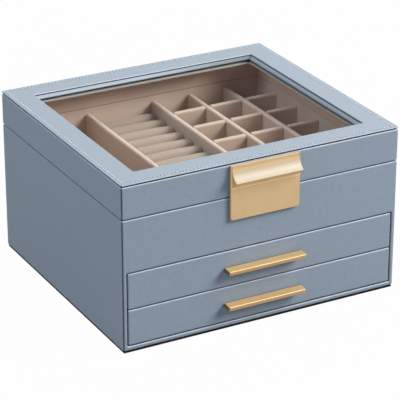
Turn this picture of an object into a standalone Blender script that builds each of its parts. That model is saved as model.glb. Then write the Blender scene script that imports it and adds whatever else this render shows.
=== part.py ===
"""A jewelry box in three tiers: a fitted tray under a glass-topped lid, and two drawers below it.

The origin is on the floor under the middle of the case. The front faces -Y, +X is to the right and +Z is up.
Lengths are in metres.
"""

import math

import bmesh
import bpy
from mathutils import Matrix, Vector

MM = 0.001

# Overall size
WIDTH = 235 * MM
DEPTH = 212 * MM
HEIGHT = 135 * MM
HALF_W = WIDTH / 2
HALF_D = DEPTH / 2

# Clearances
GAP = 0.3 * MM          # between glued pieces
RUN = 0.4 * MM          # each side of the line between the drawer fronts
OUTER_RUN = 0.8 * MM    # over the upper drawer front and under the lower one
SIDE_RUN = 0.7 * MM     # beside a drawer front
OVERCUT = 1 * MM        # how far a cutter runs past a face

# Covered boards of the case and the lid
WALL = 3.5 * MM
CORNER_R = 1.6 * MM
EDGE_R = 0.8 * MM
CORNER_STEPS = 4
EDGE_STEPS = 3

# Heights of the case, from the floor up
PAD_T = 1.7 * MM
CASE_LOW = PAD_T + GAP
OPENING_LOW = 5.3 * MM
DRAWER_LINE = 35 * MM
OPENING_TOP = 64.9 * MM
CASE_TOP = 107 * MM
LID_LOW = 107.7 * MM
LID_WALL_TOP = 133.3 * MM
FRAME_LOW = 134.2 * MM

# Shelf, tray floor and tray lining
SHELF_T = 2.6 * MM
TRAY_FLOOR_LOW = 65 * MM
TRAY_FLOOR_T = 3 * MM
LINING_T = 1 * MM
LINING_FLOOR_T = 1.2 * MM
TRAY_LINING_TOP = 108.3 * MM

# Dividers and ring rolls in the tray
DIVIDER_T = 4.6 * MM
DIVIDER_TOP = 103.6 * MM
DIVIDER_ROUND = 1.3 * MM
LEFT_DIVIDER_X = -44.7 * MM
MIDDLE_DIVIDER_X = 15 * MM
GRID_COLUMNS = 3
GRID_ROWS = 6
GRID_PITCH = 33.6 * MM
GRID_BACK_Y = 70.5 * MM     # the cross divider nearest to the back wall
ROLLS = 13
ROLL_TOP = 96.5 * MM
ROLL_TOP_R = 5.2 * MM
ROLL_BASE_R = 1.2 * MM
ROLL_END_R = 2 * MM

# Lid: window, glass and lining
RAIL = 19.8 * MM
WINDOW_W = HALF_W - RAIL
WINDOW_D = HALF_D - RAIL
FRAME_EDGE_R = 0.4 * MM
BEAD_TOP = 134.2 * MM       # where the bead round the glass starts, under the rim
BEAD = 2.4 * MM             # how far the bead slopes inwards and down
SIGHT_W = WINDOW_W - BEAD
SIGHT_D = WINDOW_D - BEAD
REBATE_LOW = 131.2 * MM
GLASS_T = 1.6 * MM
GLASS_LAP = 8 * MM
GLASS_LEDGE_T = 2 * MM      # the flange of the lid lining, under the glass
GLASS_LEDGE_SHOW = 0.8 * MM # how far that flange stands in from the bead
LID_LINING_LOW = 108.8 * MM

# Clasp
CLASP_HALF = 29.3 * MM
CLASP_T = 2.4 * MM
CLASP_LOW = 89.4 * MM
CLASP_TOP = 133.1 * MM
CLASP_CORNER_R = 2 * MM
CLASP_EDGE_R = 0.25 * MM
LIP_HALF = 28.4 * MM
LIP_TOP = 132.4 * MM
LIP_LOW = 115.8 * MM
LIP_REACH = 6.3 * MM
LIP_TIP_LOW = 120.9 * MM
LIP_TIP_T = 0.6 * MM
LIP_HOLLOW = 2.5            # how sharply the lip turns outwards
LIP_STEPS = 8
MAGNET_HALF = 15 * MM
MAGNET_LOW = 93 * MM
MAGNET_H = 8 * MM
MAGNET_T = 1.7 * MM

# Hinges on the back
HINGE_X = 65 * MM
KNUCKLE_R = 2.2 * MM
KNUCKLE_BORE_R = 1.2 * MM
PIN_R = 0.9 * MM
PIN_HEAD_R = 1.6 * MM
PIN_HEAD_T = 0.6 * MM
LEAF_W = 24 * MM
LEAF_H = 11.5 * MM
LEAF_T = 0.8 * MM
KNUCKLE_W = 8 * MM
HINGE_Y = HALF_D + GAP + KNUCKLE_R
HINGE_Z = (CASE_TOP + LID_LOW) / 2

# Drawers
FRONT_T = 5 * MM
FRONT_EDGE_R = 1 * MM
FRONT_CORNER_R = 1.1 * MM
DRAWER_SIDE_T = 2.8 * MM
DRAWER_SIDE_CLEAR = 0.8 * MM
DRAWER_LIFT = 0.5 * MM
DRAWER_SIDE_H = 26.5 * MM
DRAWER_BACK_CLEAR = 3 * MM
DRAWER_FLOOR_T = 2.5 * MM
DRAWER_LINING_T = 1 * MM

# Handles: a flat bar with square ends
HANDLE_HALF = 33.3 * MM
HANDLE_REACH = 8 * MM
HANDLE_T = 3.6 * MM
HANDLE_FALL = 0.5 * MM      # how far the top face falls towards the front
HANDLE_TOP = 15.8 * MM      # above the low edge of the drawer front
HANDLE_EDGE_R = 0.35 * MM
PEG_X = 22 * MM
PEG_DROP = 1.9 * MM         # below the top edge of the handle
PEG_R = 1 * MM
PEG_ROOT = 1 * MM           # how far a peg is rooted in the bar
PEG_PROUD = 0.8 * MM        # how far it stands out inside the drawer
ROUND_STEPS = 24


def clear_scene():
    for obj in list(bpy.data.objects):
        bpy.data.objects.remove(obj)


def finish(name, colour, roughness, metallic=0.0, alpha=1.0):
    """A surface finish with plain values."""
    made = bpy.data.materials.new(name)
    made.use_nodes = True
    shader = made.node_tree.nodes["Principled BSDF"]
    shader.inputs["Base Color"].default_value = (*colour, 1.0)
    shader.inputs["Roughness"].default_value = roughness
    shader.inputs["Metallic"].default_value = metallic
    shader.inputs["Alpha"].default_value = alpha
    return made


def piece(name, mesh_data, look, parent=None):
    """One solid with its faces turned outwards, shaded smooth except at real edges."""
    bmesh.ops.recalc_face_normals(mesh_data, faces=mesh_data.faces)
    mesh = bpy.data.meshes.new(name)
    mesh_data.to_mesh(mesh)
    mesh_data.free()
    mesh.shade_smooth()
    mesh.set_sharp_from_angle(angle=math.radians(30))
    mesh.materials.append(look)
    obj = bpy.data.objects.new(name, mesh)
    bpy.context.scene.collection.objects.link(obj)
    if parent:
        obj.parent = parent
        obj.location = -parent.location
    return obj


def cutter(name, mesh_data):
    """A guide solid that other pieces are cut by or joined with."""
    bmesh.ops.recalc_face_normals(mesh_data, faces=mesh_data.faces)
    mesh = bpy.data.meshes.new(name)
    mesh_data.to_mesh(mesh)
    mesh_data.free()
    obj = bpy.data.objects.new(name, mesh)
    obj.hide_render = True
    obj.display_type = "WIRE"
    bpy.context.scene.collection.objects.link(obj)
    return obj


def combine(obj, tool, operation="DIFFERENCE"):
    change = obj.modifiers.new(tool.name, "BOOLEAN")
    change.operation = operation
    change.solver = "EXACT"
    change.object = tool


def soften(obj, width, segments):
    """Rounds every sharp edge a little."""
    bevel = obj.modifiers.new("soft edges", "BEVEL")
    bevel.width = width
    bevel.segments = segments
    bevel.limit_method = "ANGLE"
    bevel.angle_limit = math.radians(40)


def joint_empty(name, place):
    empty = bpy.data.objects.new(name, None)
    empty.location = place
    bpy.context.scene.collection.objects.link(empty)
    return empty


def box(low, high):
    """A plain rectangular solid between two corners."""
    mesh_data = bmesh.new()
    bmesh.ops.create_cube(mesh_data, size=1.0)
    low = Vector(low)
    high = Vector(high)
    place = Matrix.Translation((low + high) / 2) @ Matrix.Diagonal((*(high - low), 1.0))
    bmesh.ops.transform(mesh_data, matrix=place, verts=mesh_data.verts)
    return mesh_data


def loft(rings):
    """A closed solid through rings of points that all have the same count."""
    mesh_data = bmesh.new()
    rows = [[mesh_data.verts.new(point) for point in ring] for ring in rings]
    count = len(rings[0])
    for low, high in zip(rows, rows[1:]):
        for k in range(count):
            following = (k + 1) % count
            mesh_data.faces.new((low[k], low[following], high[following], high[k]))
    mesh_data.faces.new(rows[0])
    mesh_data.faces.new(rows[-1])
    return mesh_data


def quarter_round(radius, steps):
    """Pairs of inset and depth along a rounded edge, from the face (depth 0) to the side (inset 0)."""
    pairs = []
    for k in range(steps + 1):
        angle = math.radians(90 * k / steps)
        pairs.append((radius - radius * math.sin(angle), radius - radius * math.cos(angle)))
    return pairs


def rounded_rectangle(half_x, half_y, radius, z):
    """A ring of points at height z, with round corners."""
    ring = []
    for sign_x, sign_y, start in ((1, -1, -90), (1, 1, 0), (-1, 1, 90), (-1, -1, 180)):
        for k in range(CORNER_STEPS + 1):
            angle = math.radians(start + 90 * k / CORNER_STEPS)
            x = sign_x * (half_x - radius) + radius * math.cos(angle)
            y = sign_y * (half_y - radius) + radius * math.sin(angle)
            ring.append((x, y, z))
    return ring


def rounded_block(half_x, half_y, low, high, corner, low_edge, high_edge):
    """A block with round upright corners and rounded rims at its low and high faces."""
    layers = []
    for inset, depth in quarter_round(low_edge, EDGE_STEPS):
        layers.append((inset, low + depth))
    for inset, depth in reversed(quarter_round(high_edge, EDGE_STEPS)):
        layers.append((inset, high - depth))
    rings = [rounded_rectangle(half_x - i, half_y - i, corner - i, z) for i, z in layers]
    return loft(rings)


def flared_opening(half_x, half_y, face, end, edge):
    """A cutter that leaves a rounded rim on the face it enters from above, at height face, down to end."""
    rings = [rounded_rectangle(half_x + edge, half_y + edge, 2 * edge, face + OVERCUT)]
    for inset, depth in quarter_round(edge, EDGE_STEPS):
        rings.append(rounded_rectangle(half_x + inset, half_y + inset, edge + inset, face - depth))
    rings.append(rounded_rectangle(half_x, half_y, edge, end - OVERCUT))
    return loft(rings)


def slice_off(mesh_data, point, normal):
    """Cuts away what lies on the side that the normal points to, and closes the cut."""
    geometry = mesh_data.verts[:] + mesh_data.edges[:] + mesh_data.faces[:]
    bmesh.ops.bisect_plane(mesh_data, geom=geometry, plane_co=point, plane_no=normal, clear_outer=True)
    rim = [edge for edge in mesh_data.edges if edge.is_boundary]
    bmesh.ops.holes_fill(mesh_data, edges=rim)


def mitred_wall(outward, low, high):
    """One of four walls cut from a rounded block, with its ends mitred to the corners."""
    wall = rounded_block(HALF_W, HALF_D, low, high, CORNER_R, EDGE_R, EDGE_R)
    outward = Vector(outward)
    along = Vector((-outward.y, outward.x, 0))
    reach = HALF_W if abs(outward.x) > 0 else HALF_D
    length = HALF_D if abs(outward.x) > 0 else HALF_W
    slice_off(wall, outward * (reach - WALL), -outward)
    for side in (1, -1):
        normal = (side * along - outward).normalized()
        corner = outward * reach + side * along * length
        slice_off(wall, corner - normal * GAP / 2, normal)
    return wall


def turned(profile, place, axis_to):
    """A solid of revolution: profile holds radius and height pairs, its axis is turned from +Z to axis_to."""
    rings = []
    for radius, height in profile:
        angles = [2 * math.pi * k / ROUND_STEPS for k in range(ROUND_STEPS)]
        rings.append([(radius * math.cos(a), radius * math.sin(a), height) for a in angles])
    mesh_data = loft(rings)
    turn = Vector((0, 0, 1)).rotation_difference(Vector(axis_to)).to_matrix().to_4x4()
    bmesh.ops.transform(mesh_data, matrix=Matrix.Translation(place) @ turn, verts=mesh_data.verts)
    return mesh_data


def make_finishes():
    return {
        "leatherette": finish("blue leatherette", (0.30, 0.37, 0.46), 0.55),
        "velvet": finish("beige velvet", (0.50, 0.39, 0.30), 0.95),
        "board": finish("covered board", (0.26, 0.32, 0.40), 0.7),
        "gold": finish("satin gold", (0.80, 0.58, 0.32), 0.3, metallic=1.0),
        "glass": finish("clear glass", (0.95, 0.97, 0.97), 0.03, alpha=0.35),
        "felt": finish("black felt", (0.02, 0.02, 0.025), 0.95),
        "steel": finish("bright steel", (0.55, 0.55, 0.56), 0.3, metallic=1.0),
    }


def make_case(looks):
    """The covered box: four mitred walls, bottom, base pad, shelf and tray floor."""
    inside_w = HALF_W - WALL - GAP
    inside_d = HALF_D - WALL - GAP
    cover = looks["leatherette"]
    pad_inset = 0.9 * MM
    pad_low = (-HALF_W + pad_inset, -HALF_D + pad_inset, 0)
    pad_high = (HALF_W - pad_inset, HALF_D - pad_inset, PAD_T)
    piece("base_pad", box(pad_low, pad_high), looks["felt"])
    bottom_top = OPENING_LOW - DRAWER_LIFT
    piece("bottom_panel", box((-inside_w, -inside_d, CASE_LOW), (inside_w, inside_d, bottom_top)), looks["board"])
    piece("left_side_panel", mitred_wall((-1, 0, 0), CASE_LOW, CASE_TOP), cover)
    piece("right_side_panel", mitred_wall((1, 0, 0), CASE_LOW, CASE_TOP), cover)
    piece("back_panel", mitred_wall((0, 1, 0), CASE_LOW, CASE_TOP), cover)
    front = piece("front_frame", mitred_wall((0, -1, 0), CASE_LOW, CASE_TOP), cover)
    combine(front, front_opening())
    magnet_y = -HALF_D + WALL - GAP / 2
    recess_low = (-MAGNET_HALF - GAP, magnet_y - MAGNET_T - GAP, MAGNET_LOW - GAP)
    recess_high = (MAGNET_HALF + GAP, -HALF_D + WALL + OVERCUT, MAGNET_LOW + MAGNET_H + GAP)
    combine(front, cutter("magnet recess", box(recess_low, recess_high)))
    magnet_low = (-MAGNET_HALF, magnet_y - MAGNET_T, MAGNET_LOW)
    magnet_high = (MAGNET_HALF, magnet_y, MAGNET_LOW + MAGNET_H)
    piece("clasp_magnet", box(magnet_low, magnet_high), looks["steel"])
    shelf_low = (-inside_w, -HALF_D + FRONT_T + RUN, DRAWER_LINE - SHELF_T / 2)
    piece("drawer_shelf", box(shelf_low, (inside_w, inside_d, DRAWER_LINE + SHELF_T / 2)), looks["board"])
    floor_top = TRAY_FLOOR_LOW + TRAY_FLOOR_T
    floor_low = (-inside_w, -inside_d, TRAY_FLOOR_LOW)
    piece("tray_floor_board", box(floor_low, (inside_w, inside_d, floor_top)), looks["board"])


def front_opening():
    """The drawer opening, with a rounded rim at the front face."""
    half_h = (OPENING_TOP - OPENING_LOW) / 2
    hole = flared_opening(HALF_W - WALL, half_h, 0, -WALL, EDGE_R)
    middle = (OPENING_TOP + OPENING_LOW) / 2
    place = Matrix.Translation((0, -HALF_D, middle)) @ Matrix.Rotation(math.radians(90), 4, "X")
    bmesh.ops.transform(hole, matrix=place, verts=hole.verts)
    return cutter("drawer opening", hole)


def make_tray(looks):
    """The velvet tray: lining, long dividers, grid and ring rolls."""
    velvet = looks["velvet"]
    outer_w = HALF_W - WALL - GAP
    outer_d = HALF_D - WALL - GAP
    inner_w = outer_w - LINING_T
    inner_d = outer_d - LINING_T
    low = TRAY_FLOOR_LOW + TRAY_FLOOR_T + GAP
    floor = low + LINING_FLOOR_T
    lining = piece("tray_lining", box((-outer_w, -outer_d, low), (outer_w, outer_d, TRAY_LINING_TOP)), velvet)
    hollow = box((-inner_w, -inner_d, floor), (inner_w, inner_d, TRAY_LINING_TOP + OVERCUT))
    combine(lining, cutter("tray hollow", hollow))
    stand = floor + GAP
    end = inner_d - GAP
    for name, x in (("tray_divider_left", LEFT_DIVIDER_X), ("tray_divider_middle", MIDDLE_DIVIDER_X)):
        corners = [(-end, stand), (end, stand), (end, DIVIDER_TOP), (-end, DIVIDER_TOP)]
        soften(piece(name, upright_board(corners, x, "Y"), velvet), DIVIDER_ROUND, 2)
    make_grid(velvet, inner_w, inner_d, stand)
    make_rolls(velvet, inner_d, stand)


def upright_board(corners, centre, runs_along):
    """A divider board from its side outline, standing at x = centre along Y, or at y = centre along X."""
    rings = []
    for side in (centre - DIVIDER_T / 2, centre + DIVIDER_T / 2):
        if runs_along == "Y":
            rings.append([(side, u, z) for u, z in corners])
        else:
            rings.append([(u, side, z) for u, z in corners])
    return loft(rings)


def slotted_outline(start, end, low, high, slots, open_side):
    """The side outline of a board with a half-height slot at each place in slots, open at its low or high edge."""
    half = DIVIDER_T / 2 + GAP
    middle = (low + high) / 2
    notched = low if open_side == "low" else high
    depth = middle + GAP / 2 if open_side == "low" else middle - GAP / 2
    edge = [(start, notched)]
    for place in slots:
        edge += [(place - half, notched), (place - half, depth), (place + half, depth), (place + half, notched)]
    edge.append((end, notched))
    plain = high if open_side == "low" else low
    return edge + [(end, plain), (start, plain)]


def make_grid(velvet, inner_w, inner_d, stand):
    """Long and cross dividers halved into each other, right of the middle divider."""
    left = MIDDLE_DIVIDER_X + DIVIDER_T / 2
    columns = [MIDDLE_DIVIDER_X + k * GRID_PITCH for k in range(1, GRID_COLUMNS)]
    rows = [GRID_BACK_Y - k * GRID_PITCH for k in range(GRID_ROWS - 1)]
    end = inner_d - GAP
    for k, x in enumerate(columns, 1):
        outline = slotted_outline(-end, end, stand, DIVIDER_TOP, sorted(rows), "low")
        board = piece(f"grid_divider_long_{k}", upright_board(outline, x, "Y"), velvet)
        soften(board, DIVIDER_ROUND, 2)
    for k, y in enumerate(rows, 1):
        outline = slotted_outline(left + GAP, inner_w - GAP, stand, DIVIDER_TOP, columns, "high")
        board = piece(f"grid_divider_cross_{k}", upright_board(outline, y, "X"), velvet)
        soften(board, DIVIDER_ROUND, 2)


def roll_outline(half, low, high, inset):
    """Side outline of a ring roll: a foam strip with a full round top and tighter low corners."""
    points = []
    corners = ((1, low, ROLL_BASE_R, -90, 1), (1, high, ROLL_TOP_R, 0, 4))
    corners += ((-1, high, ROLL_TOP_R, 90, 4), (-1, low, ROLL_BASE_R, 180, 1))
    for side, height, radius, start, steps in corners:
        up = 1 if height == low else -1
        shift = 0 if height == low else inset
        r = max(radius - inset, radius / 2)
        for k in range(steps + 1):
            angle = math.radians(start + 90 * k / steps)
            y = side * (half - inset - r) + r * math.cos(angle)
            points.append((y, height - shift + up * r + r * math.sin(angle)))
    return points


def make_rolls(velvet, inner_d, stand):
    """Ring rolls side by side, held between the left and the middle divider."""
    start = LEFT_DIVIDER_X + DIVIDER_T / 2 + GAP
    end = MIDDLE_DIVIDER_X - DIVIDER_T / 2 - GAP
    pitch = 2 * inner_d / ROLLS
    half = (pitch - GAP) / 2
    rounds = quarter_round(ROLL_END_R, 2)
    for number in range(ROLLS):
        centre = inner_d - (number + 0.5) * pitch
        stations = [(inset, start + depth) for inset, depth in rounds]
        stations += [(inset, end - depth) for inset, depth in reversed(rounds)]
        rings = []
        for inset, x in stations:
            outline = roll_outline(half, stand, ROLL_TOP, inset)
            rings.append([(x, centre + y, z) for y, z in outline])
        piece(f"ring_roll_{number + 1:02d}", loft(rings), velvet)


def make_lid(looks, lid):
    """Four mitred walls, the window frame, the glass and the velvet lining."""
    cover = looks["leatherette"]
    sides = {"front": (0, -1, 0), "back": (0, 1, 0), "left": (-1, 0, 0), "right": (1, 0, 0)}
    for side, outward in sides.items():
        piece(f"lid_{side}_wall", mitred_wall(outward, LID_LOW, LID_WALL_TOP), cover, lid)
    inside_w = HALF_W - WALL - GAP
    inside_d = HALF_D - WALL - GAP
    top = piece("lid_top_frame", window_frame(inside_w, inside_d), cover, lid)
    combine(top, cutter("window", window_opening()))
    glass_top = REBATE_LOW - GAP
    glass_low = glass_top - GLASS_T
    half_w = WINDOW_W + GLASS_LAP
    half_d = WINDOW_D + GLASS_LAP
    piece("glass_pane", box((-half_w, -half_d, glass_low), (half_w, half_d, glass_top)), looks["glass"], lid)
    lining_top = glass_low - GAP
    lining_box = box((-inside_w, -inside_d, LID_LINING_LOW), (inside_w, inside_d, lining_top))
    lining = piece("lid_lining", lining_box, looks["velvet"], lid)
    room_w = inside_w - LINING_T
    room_d = inside_d - LINING_T
    shelf = lining_top - GLASS_LEDGE_T
    hollow = box((-room_w, -room_d, LID_LINING_LOW - OVERCUT), (room_w, room_d, shelf))
    combine(lining, cutter("lid hollow", hollow))
    sight_w = SIGHT_W - GLASS_LEDGE_SHOW
    sight_d = SIGHT_D - GLASS_LEDGE_SHOW
    sight = box((-sight_w, -sight_d, shelf - OVERCUT), (sight_w, sight_d, lining_top + OVERCUT))
    combine(lining, cutter("sight window", sight))


def window_frame(inside_w, inside_d):
    """The top frame's outer form: a rim flush with the walls, over a step that drops inside them."""
    low_edge = 0.3 * MM
    rings = [rounded_rectangle(inside_w, inside_d, low_edge, REBATE_LOW)]
    rings.append(rounded_rectangle(inside_w, inside_d, low_edge, FRAME_LOW))
    for inset, depth in quarter_round(low_edge, EDGE_STEPS):
        rings.append(rounded_rectangle(HALF_W - inset, HALF_D - inset, CORNER_R - inset, FRAME_LOW + depth))
    for inset, depth in reversed(quarter_round(FRAME_EDGE_R, EDGE_STEPS)):
        rings.append(rounded_rectangle(HALF_W - inset, HALF_D - inset, CORNER_R - inset, HEIGHT - depth))
    return loft(rings)


def window_opening():
    """A cutter for the window: a rounded rim at the top face, then a bead that slopes in to the glass."""
    rim = FRAME_EDGE_R
    rings = [rounded_rectangle(WINDOW_W + rim, WINDOW_D + rim, 2 * rim, HEIGHT + OVERCUT)]
    for inset, depth in quarter_round(rim, EDGE_STEPS):
        rings.append(rounded_rectangle(WINDOW_W + inset, WINDOW_D + inset, rim + inset, HEIGHT - depth))
    rings.append(rounded_rectangle(WINDOW_W, WINDOW_D, rim, BEAD_TOP))
    rings.append(rounded_rectangle(SIGHT_W, SIGHT_D, rim, BEAD_TOP - BEAD))
    rings.append(rounded_rectangle(SIGHT_W, SIGHT_D, rim, REBATE_LOW - OVERCUT))
    return loft(rings)


def lip_curve(face):
    """The lip's hollow top, from the tip up to the clasp's face, which it leaves almost upright."""
    tip_top = LIP_TIP_LOW + LIP_TIP_T
    points = []
    for k in range(LIP_STEPS + 1):
        share = 1 - k / LIP_STEPS
        points.append((face - LIP_REACH * share ** LIP_HOLLOW, LIP_TOP - (LIP_TOP - tip_top) * share))
    return points


def make_clasp(looks, lid):
    """A gold plate fixed to the lid front, reaching over the seam, with a hollow lip for the fingers."""
    back = -HALF_D - GAP
    face = back - CLASP_T
    root = (back + face) / 2
    plate = box((-CLASP_HALF, face, CLASP_LOW), (CLASP_HALF, back, CLASP_TOP))
    feet = [e for e in plate.edges if all(v.co.z < CLASP_LOW + GAP for v in e.verts) and runs_along_y(e)]
    bmesh.ops.bevel(plate, geom=feet, offset=CLASP_CORNER_R, segments=CORNER_STEPS, profile=0.5, affect="EDGES")
    clasp = piece("clasp_plate", plate, looks["gold"], lid)
    outline = [(root, LIP_LOW), (face, LIP_LOW), (face - LIP_REACH, LIP_TIP_LOW)]
    outline += lip_curve(face) + [(root, LIP_TOP)]
    lip = loft([[(x, y, z) for y, z in outline] for x in (-LIP_HALF, LIP_HALF)])
    combine(clasp, cutter("lip", lip), "UNION")
    soften(clasp, CLASP_EDGE_R, 1)


def runs_along_y(edge):
    run = edge.verts[1].co - edge.verts[0].co
    return abs(run.y) > abs(run.x) + abs(run.z)


def hinge_leaf(name, x, up, knuckles, look, parent=None):
    """A hinge leaf on one side of the seam (up is 1 or -1) at x, with its knuckles as spans along X."""
    low_y = HALF_D + GAP
    near = HINGE_Z + up * (KNUCKLE_R + GAP)
    far = HINGE_Z + up * LEAF_H
    plate_low = (x - LEAF_W / 2, low_y, min(near, far))
    plate = box(plate_low, (x + LEAF_W / 2, low_y + LEAF_T, max(near, far)))
    leaf = piece(name, plate, look, parent)
    for number, (start, end) in enumerate(knuckles, 1):
        reach = near + up * GAP
        tab_low = (x + start, low_y, min(HINGE_Z, reach))
        tab = box(tab_low, (x + end, low_y + LEAF_T, max(HINGE_Z, reach)))
        combine(leaf, cutter(f"{name} tab {number}", tab), "UNION")
        sleeve = turned([(KNUCKLE_R, 0), (KNUCKLE_R, end - start)], (x + start, HINGE_Y, HINGE_Z), (1, 0, 0))
        combine(leaf, cutter(f"{name} sleeve {number}", sleeve), "UNION")
    bore = [(KNUCKLE_BORE_R, 0), (KNUCKLE_BORE_R, LEAF_W + 2 * OVERCUT)]
    place = (x - LEAF_W / 2 - OVERCUT, HINGE_Y, HINGE_Z)
    combine(leaf, cutter(name + " bore", turned(bore, place, (1, 0, 0))))


def make_hinges(looks, lid):
    """Two small butt hinges on the back, with their pins."""
    gold = looks["gold"]
    half = LEAF_W / 2
    middle = KNUCKLE_W / 2
    length = LEAF_W + 2 * GAP + 2 * PIN_HEAD_T
    profile = [(PIN_HEAD_R, 0), (PIN_HEAD_R, PIN_HEAD_T), (PIN_R, PIN_HEAD_T)]
    profile += [(PIN_R, length - PIN_HEAD_T), (PIN_HEAD_R, length - PIN_HEAD_T), (PIN_HEAD_R, length)]
    for side, x in (("left", -HINGE_X), ("right", HINGE_X)):
        hinge_leaf(f"hinge_case_leaf_{side}", x, -1, ((-half, -middle), (middle, half)), gold)
        hinge_leaf(f"hinge_lid_leaf_{side}", x, 1, ((GAP - middle, middle - GAP),), gold, lid)
        pin = turned(profile, (x - length / 2, HINGE_Y, HINGE_Z), (1, 0, 0))
        piece(f"hinge_pin_{side}", pin, looks["steel"])


def make_drawer(looks, side, front_low, front_high, box_low):
    """A drawer: covered front, thin sides, back and floor, velvet lining and handle."""
    slide = joint_empty(f"{side}_drawer_slide", (0, -HALF_D, (front_low + front_high) / 2))
    board = looks["board"]
    outer = HALF_W - WALL - DRAWER_SIDE_CLEAR
    inner = outer - DRAWER_SIDE_T
    start = -HALF_D + FRONT_T + GAP
    end = HALF_D - WALL - DRAWER_BACK_CLEAR
    top = box_low + DRAWER_SIDE_H
    piece(f"{side}_drawer_left_side", box((-outer, start, box_low), (-inner, end, top)), board, slide)
    piece(f"{side}_drawer_right_side", box((inner, start, box_low), (outer, end, top)), board, slide)
    width = inner - GAP
    back_low = (-width, end - DRAWER_SIDE_T, box_low)
    piece(f"{side}_drawer_back", box(back_low, (width, end, top)), board, slide)
    deep = end - DRAWER_SIDE_T - GAP
    floor_top = box_low + DRAWER_FLOOR_T
    piece(f"{side}_drawer_floor", box((-width, start, box_low), (width, deep, floor_top)), board, slide)
    lining_low = floor_top + GAP
    lining = box((-width, start, lining_low), (width, deep, lining_low + DRAWER_LINING_T))
    piece(f"{side}_drawer_lining", lining, looks["velvet"], slide)
    front = piece(f"{side}_drawer_front", drawer_front(front_low, front_high), looks["leatherette"], slide)
    make_handle(looks, side, front, front_low + HANDLE_TOP, slide)


def drawer_front(low, high):
    """A covered board with a rounded rim round its face."""
    half_w = HALF_W - WALL - SIDE_RUN
    face = rounded_block(half_w, (high - low) / 2, 0, FRONT_T, FRONT_CORNER_R, GAP, FRONT_EDGE_R)
    turn = Matrix.Rotation(math.radians(90), 4, "X")
    place = Matrix.Translation((0, -HALF_D + FRONT_T, (low + high) / 2)) @ turn
    bmesh.ops.transform(face, matrix=place, verts=face.verts)
    return face


def make_handle(looks, side, front, top, slide):
    """A flat bar across the middle of the front, with two pegs that pass through the front."""
    wall = -HALF_D - GAP
    tip = wall - HANDLE_REACH
    low = top - HANDLE_T
    outline = [(wall, top), (wall, low), (tip, low), (tip, top - HANDLE_FALL)]
    bar = loft([[(x, y, z) for y, z in outline] for x in (-HANDLE_HALF, HANDLE_HALF)])
    handle = piece(f"{side}_drawer_handle", bar, looks["gold"], slide)
    soften(handle, HANDLE_EDGE_R, 1)
    inside = -HALF_D + FRONT_T
    inward = (0, 1, 0)
    for end, x in (("left", -PEG_X), ("right", PEG_X)):
        root = (x, wall - PEG_ROOT, top - PEG_DROP)
        peg = turned([(PEG_R, 0), (PEG_R, inside - wall + PEG_ROOT + PEG_PROUD)], root, inward)
        combine(handle, cutter(f"{side} {end} peg", peg), "UNION")
        mouth = (x, -HALF_D - OVERCUT, top - PEG_DROP)
        bore = turned([(PEG_R + GAP, 0), (PEG_R + GAP, FRONT_T + 2 * OVERCUT)], mouth, inward)
        combine(front, cutter(f"{side} {end} peg bore", bore))


def build():
    clear_scene()
    looks = make_finishes()
    make_case(looks)
    make_tray(looks)
    lid = joint_empty("lid_hinge_axis", (0, HINGE_Y, HINGE_Z))
    make_lid(looks, lid)
    make_clasp(looks, lid)
    make_hinges(looks, lid)
    make_drawer(looks, "lower", OPENING_LOW + OUTER_RUN, DRAWER_LINE - RUN, OPENING_LOW)
    shelf_top = DRAWER_LINE + SHELF_T / 2
    make_drawer(looks, "upper", DRAWER_LINE + RUN, OPENING_TOP - OUTER_RUN, shelf_top + DRAWER_LIFT)


build()
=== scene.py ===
"""The looks of a jewelry box in three tiers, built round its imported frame.

Leatherette over board outside, velvet inside, satin gold fittings and a glass window in the lid.
Lengths are in metres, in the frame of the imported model: the front faces -Y and the left side -X.
"""

import math
import random

import bmesh
import bpy
from mathutils import Matrix, Vector, noise


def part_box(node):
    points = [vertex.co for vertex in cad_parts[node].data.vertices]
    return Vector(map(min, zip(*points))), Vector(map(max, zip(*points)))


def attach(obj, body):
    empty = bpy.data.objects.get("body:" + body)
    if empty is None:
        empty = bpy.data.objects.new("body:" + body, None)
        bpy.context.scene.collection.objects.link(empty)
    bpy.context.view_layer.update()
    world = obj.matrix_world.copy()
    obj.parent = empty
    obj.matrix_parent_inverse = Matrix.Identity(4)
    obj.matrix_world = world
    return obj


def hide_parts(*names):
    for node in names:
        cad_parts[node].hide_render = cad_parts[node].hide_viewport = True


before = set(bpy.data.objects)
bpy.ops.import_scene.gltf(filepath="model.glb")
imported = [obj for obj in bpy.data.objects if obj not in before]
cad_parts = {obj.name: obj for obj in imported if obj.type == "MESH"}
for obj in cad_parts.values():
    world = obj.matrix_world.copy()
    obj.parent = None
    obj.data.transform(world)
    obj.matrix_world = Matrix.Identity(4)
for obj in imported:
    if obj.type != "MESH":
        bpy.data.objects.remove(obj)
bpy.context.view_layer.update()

MM = 0.001
CASE = "case"
LID = "lid"
DRAWERS = ("lower", "upper")
SIDES = {"front": Vector((0, -1, 0)), "back": Vector((0, 1, 0)), "left": Vector((-1, 0, 0)), "right": Vector((1, 0, 0))}

# The case, read from the frame
CASE_LOW, CASE_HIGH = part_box("left_side_panel")
HALF_W = -CASE_LOW.x
HALF_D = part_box("back_panel")[1].y
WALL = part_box("left_side_panel")[1].x - CASE_LOW.x
LID_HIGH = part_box("lid_top_frame")[1]
GAP = 0.3 * MM
OUTER_RUN = 0.8 * MM            # over the upper drawer front and under the lower one
SLIDE_PLAY = 0.15 * MM          # under the lower drawer's box, where it slides over the front cover

# Covered boards
CORNER_R = 1.6 * MM
EDGE_R = 1 * MM
LID_EDGE_R = 1.4 * MM           # of the lid walls, under the top frame
MITRE_END = math.radians(39)    # where a wall's round corner stops, short of the mitre
SEAM_START = math.radians(24)   # where it begins to dip into the seam
SEAM_DIP = 0.35 * MM
CORNER_STEPS = 8
EDGE_STEPS = 6

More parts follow.
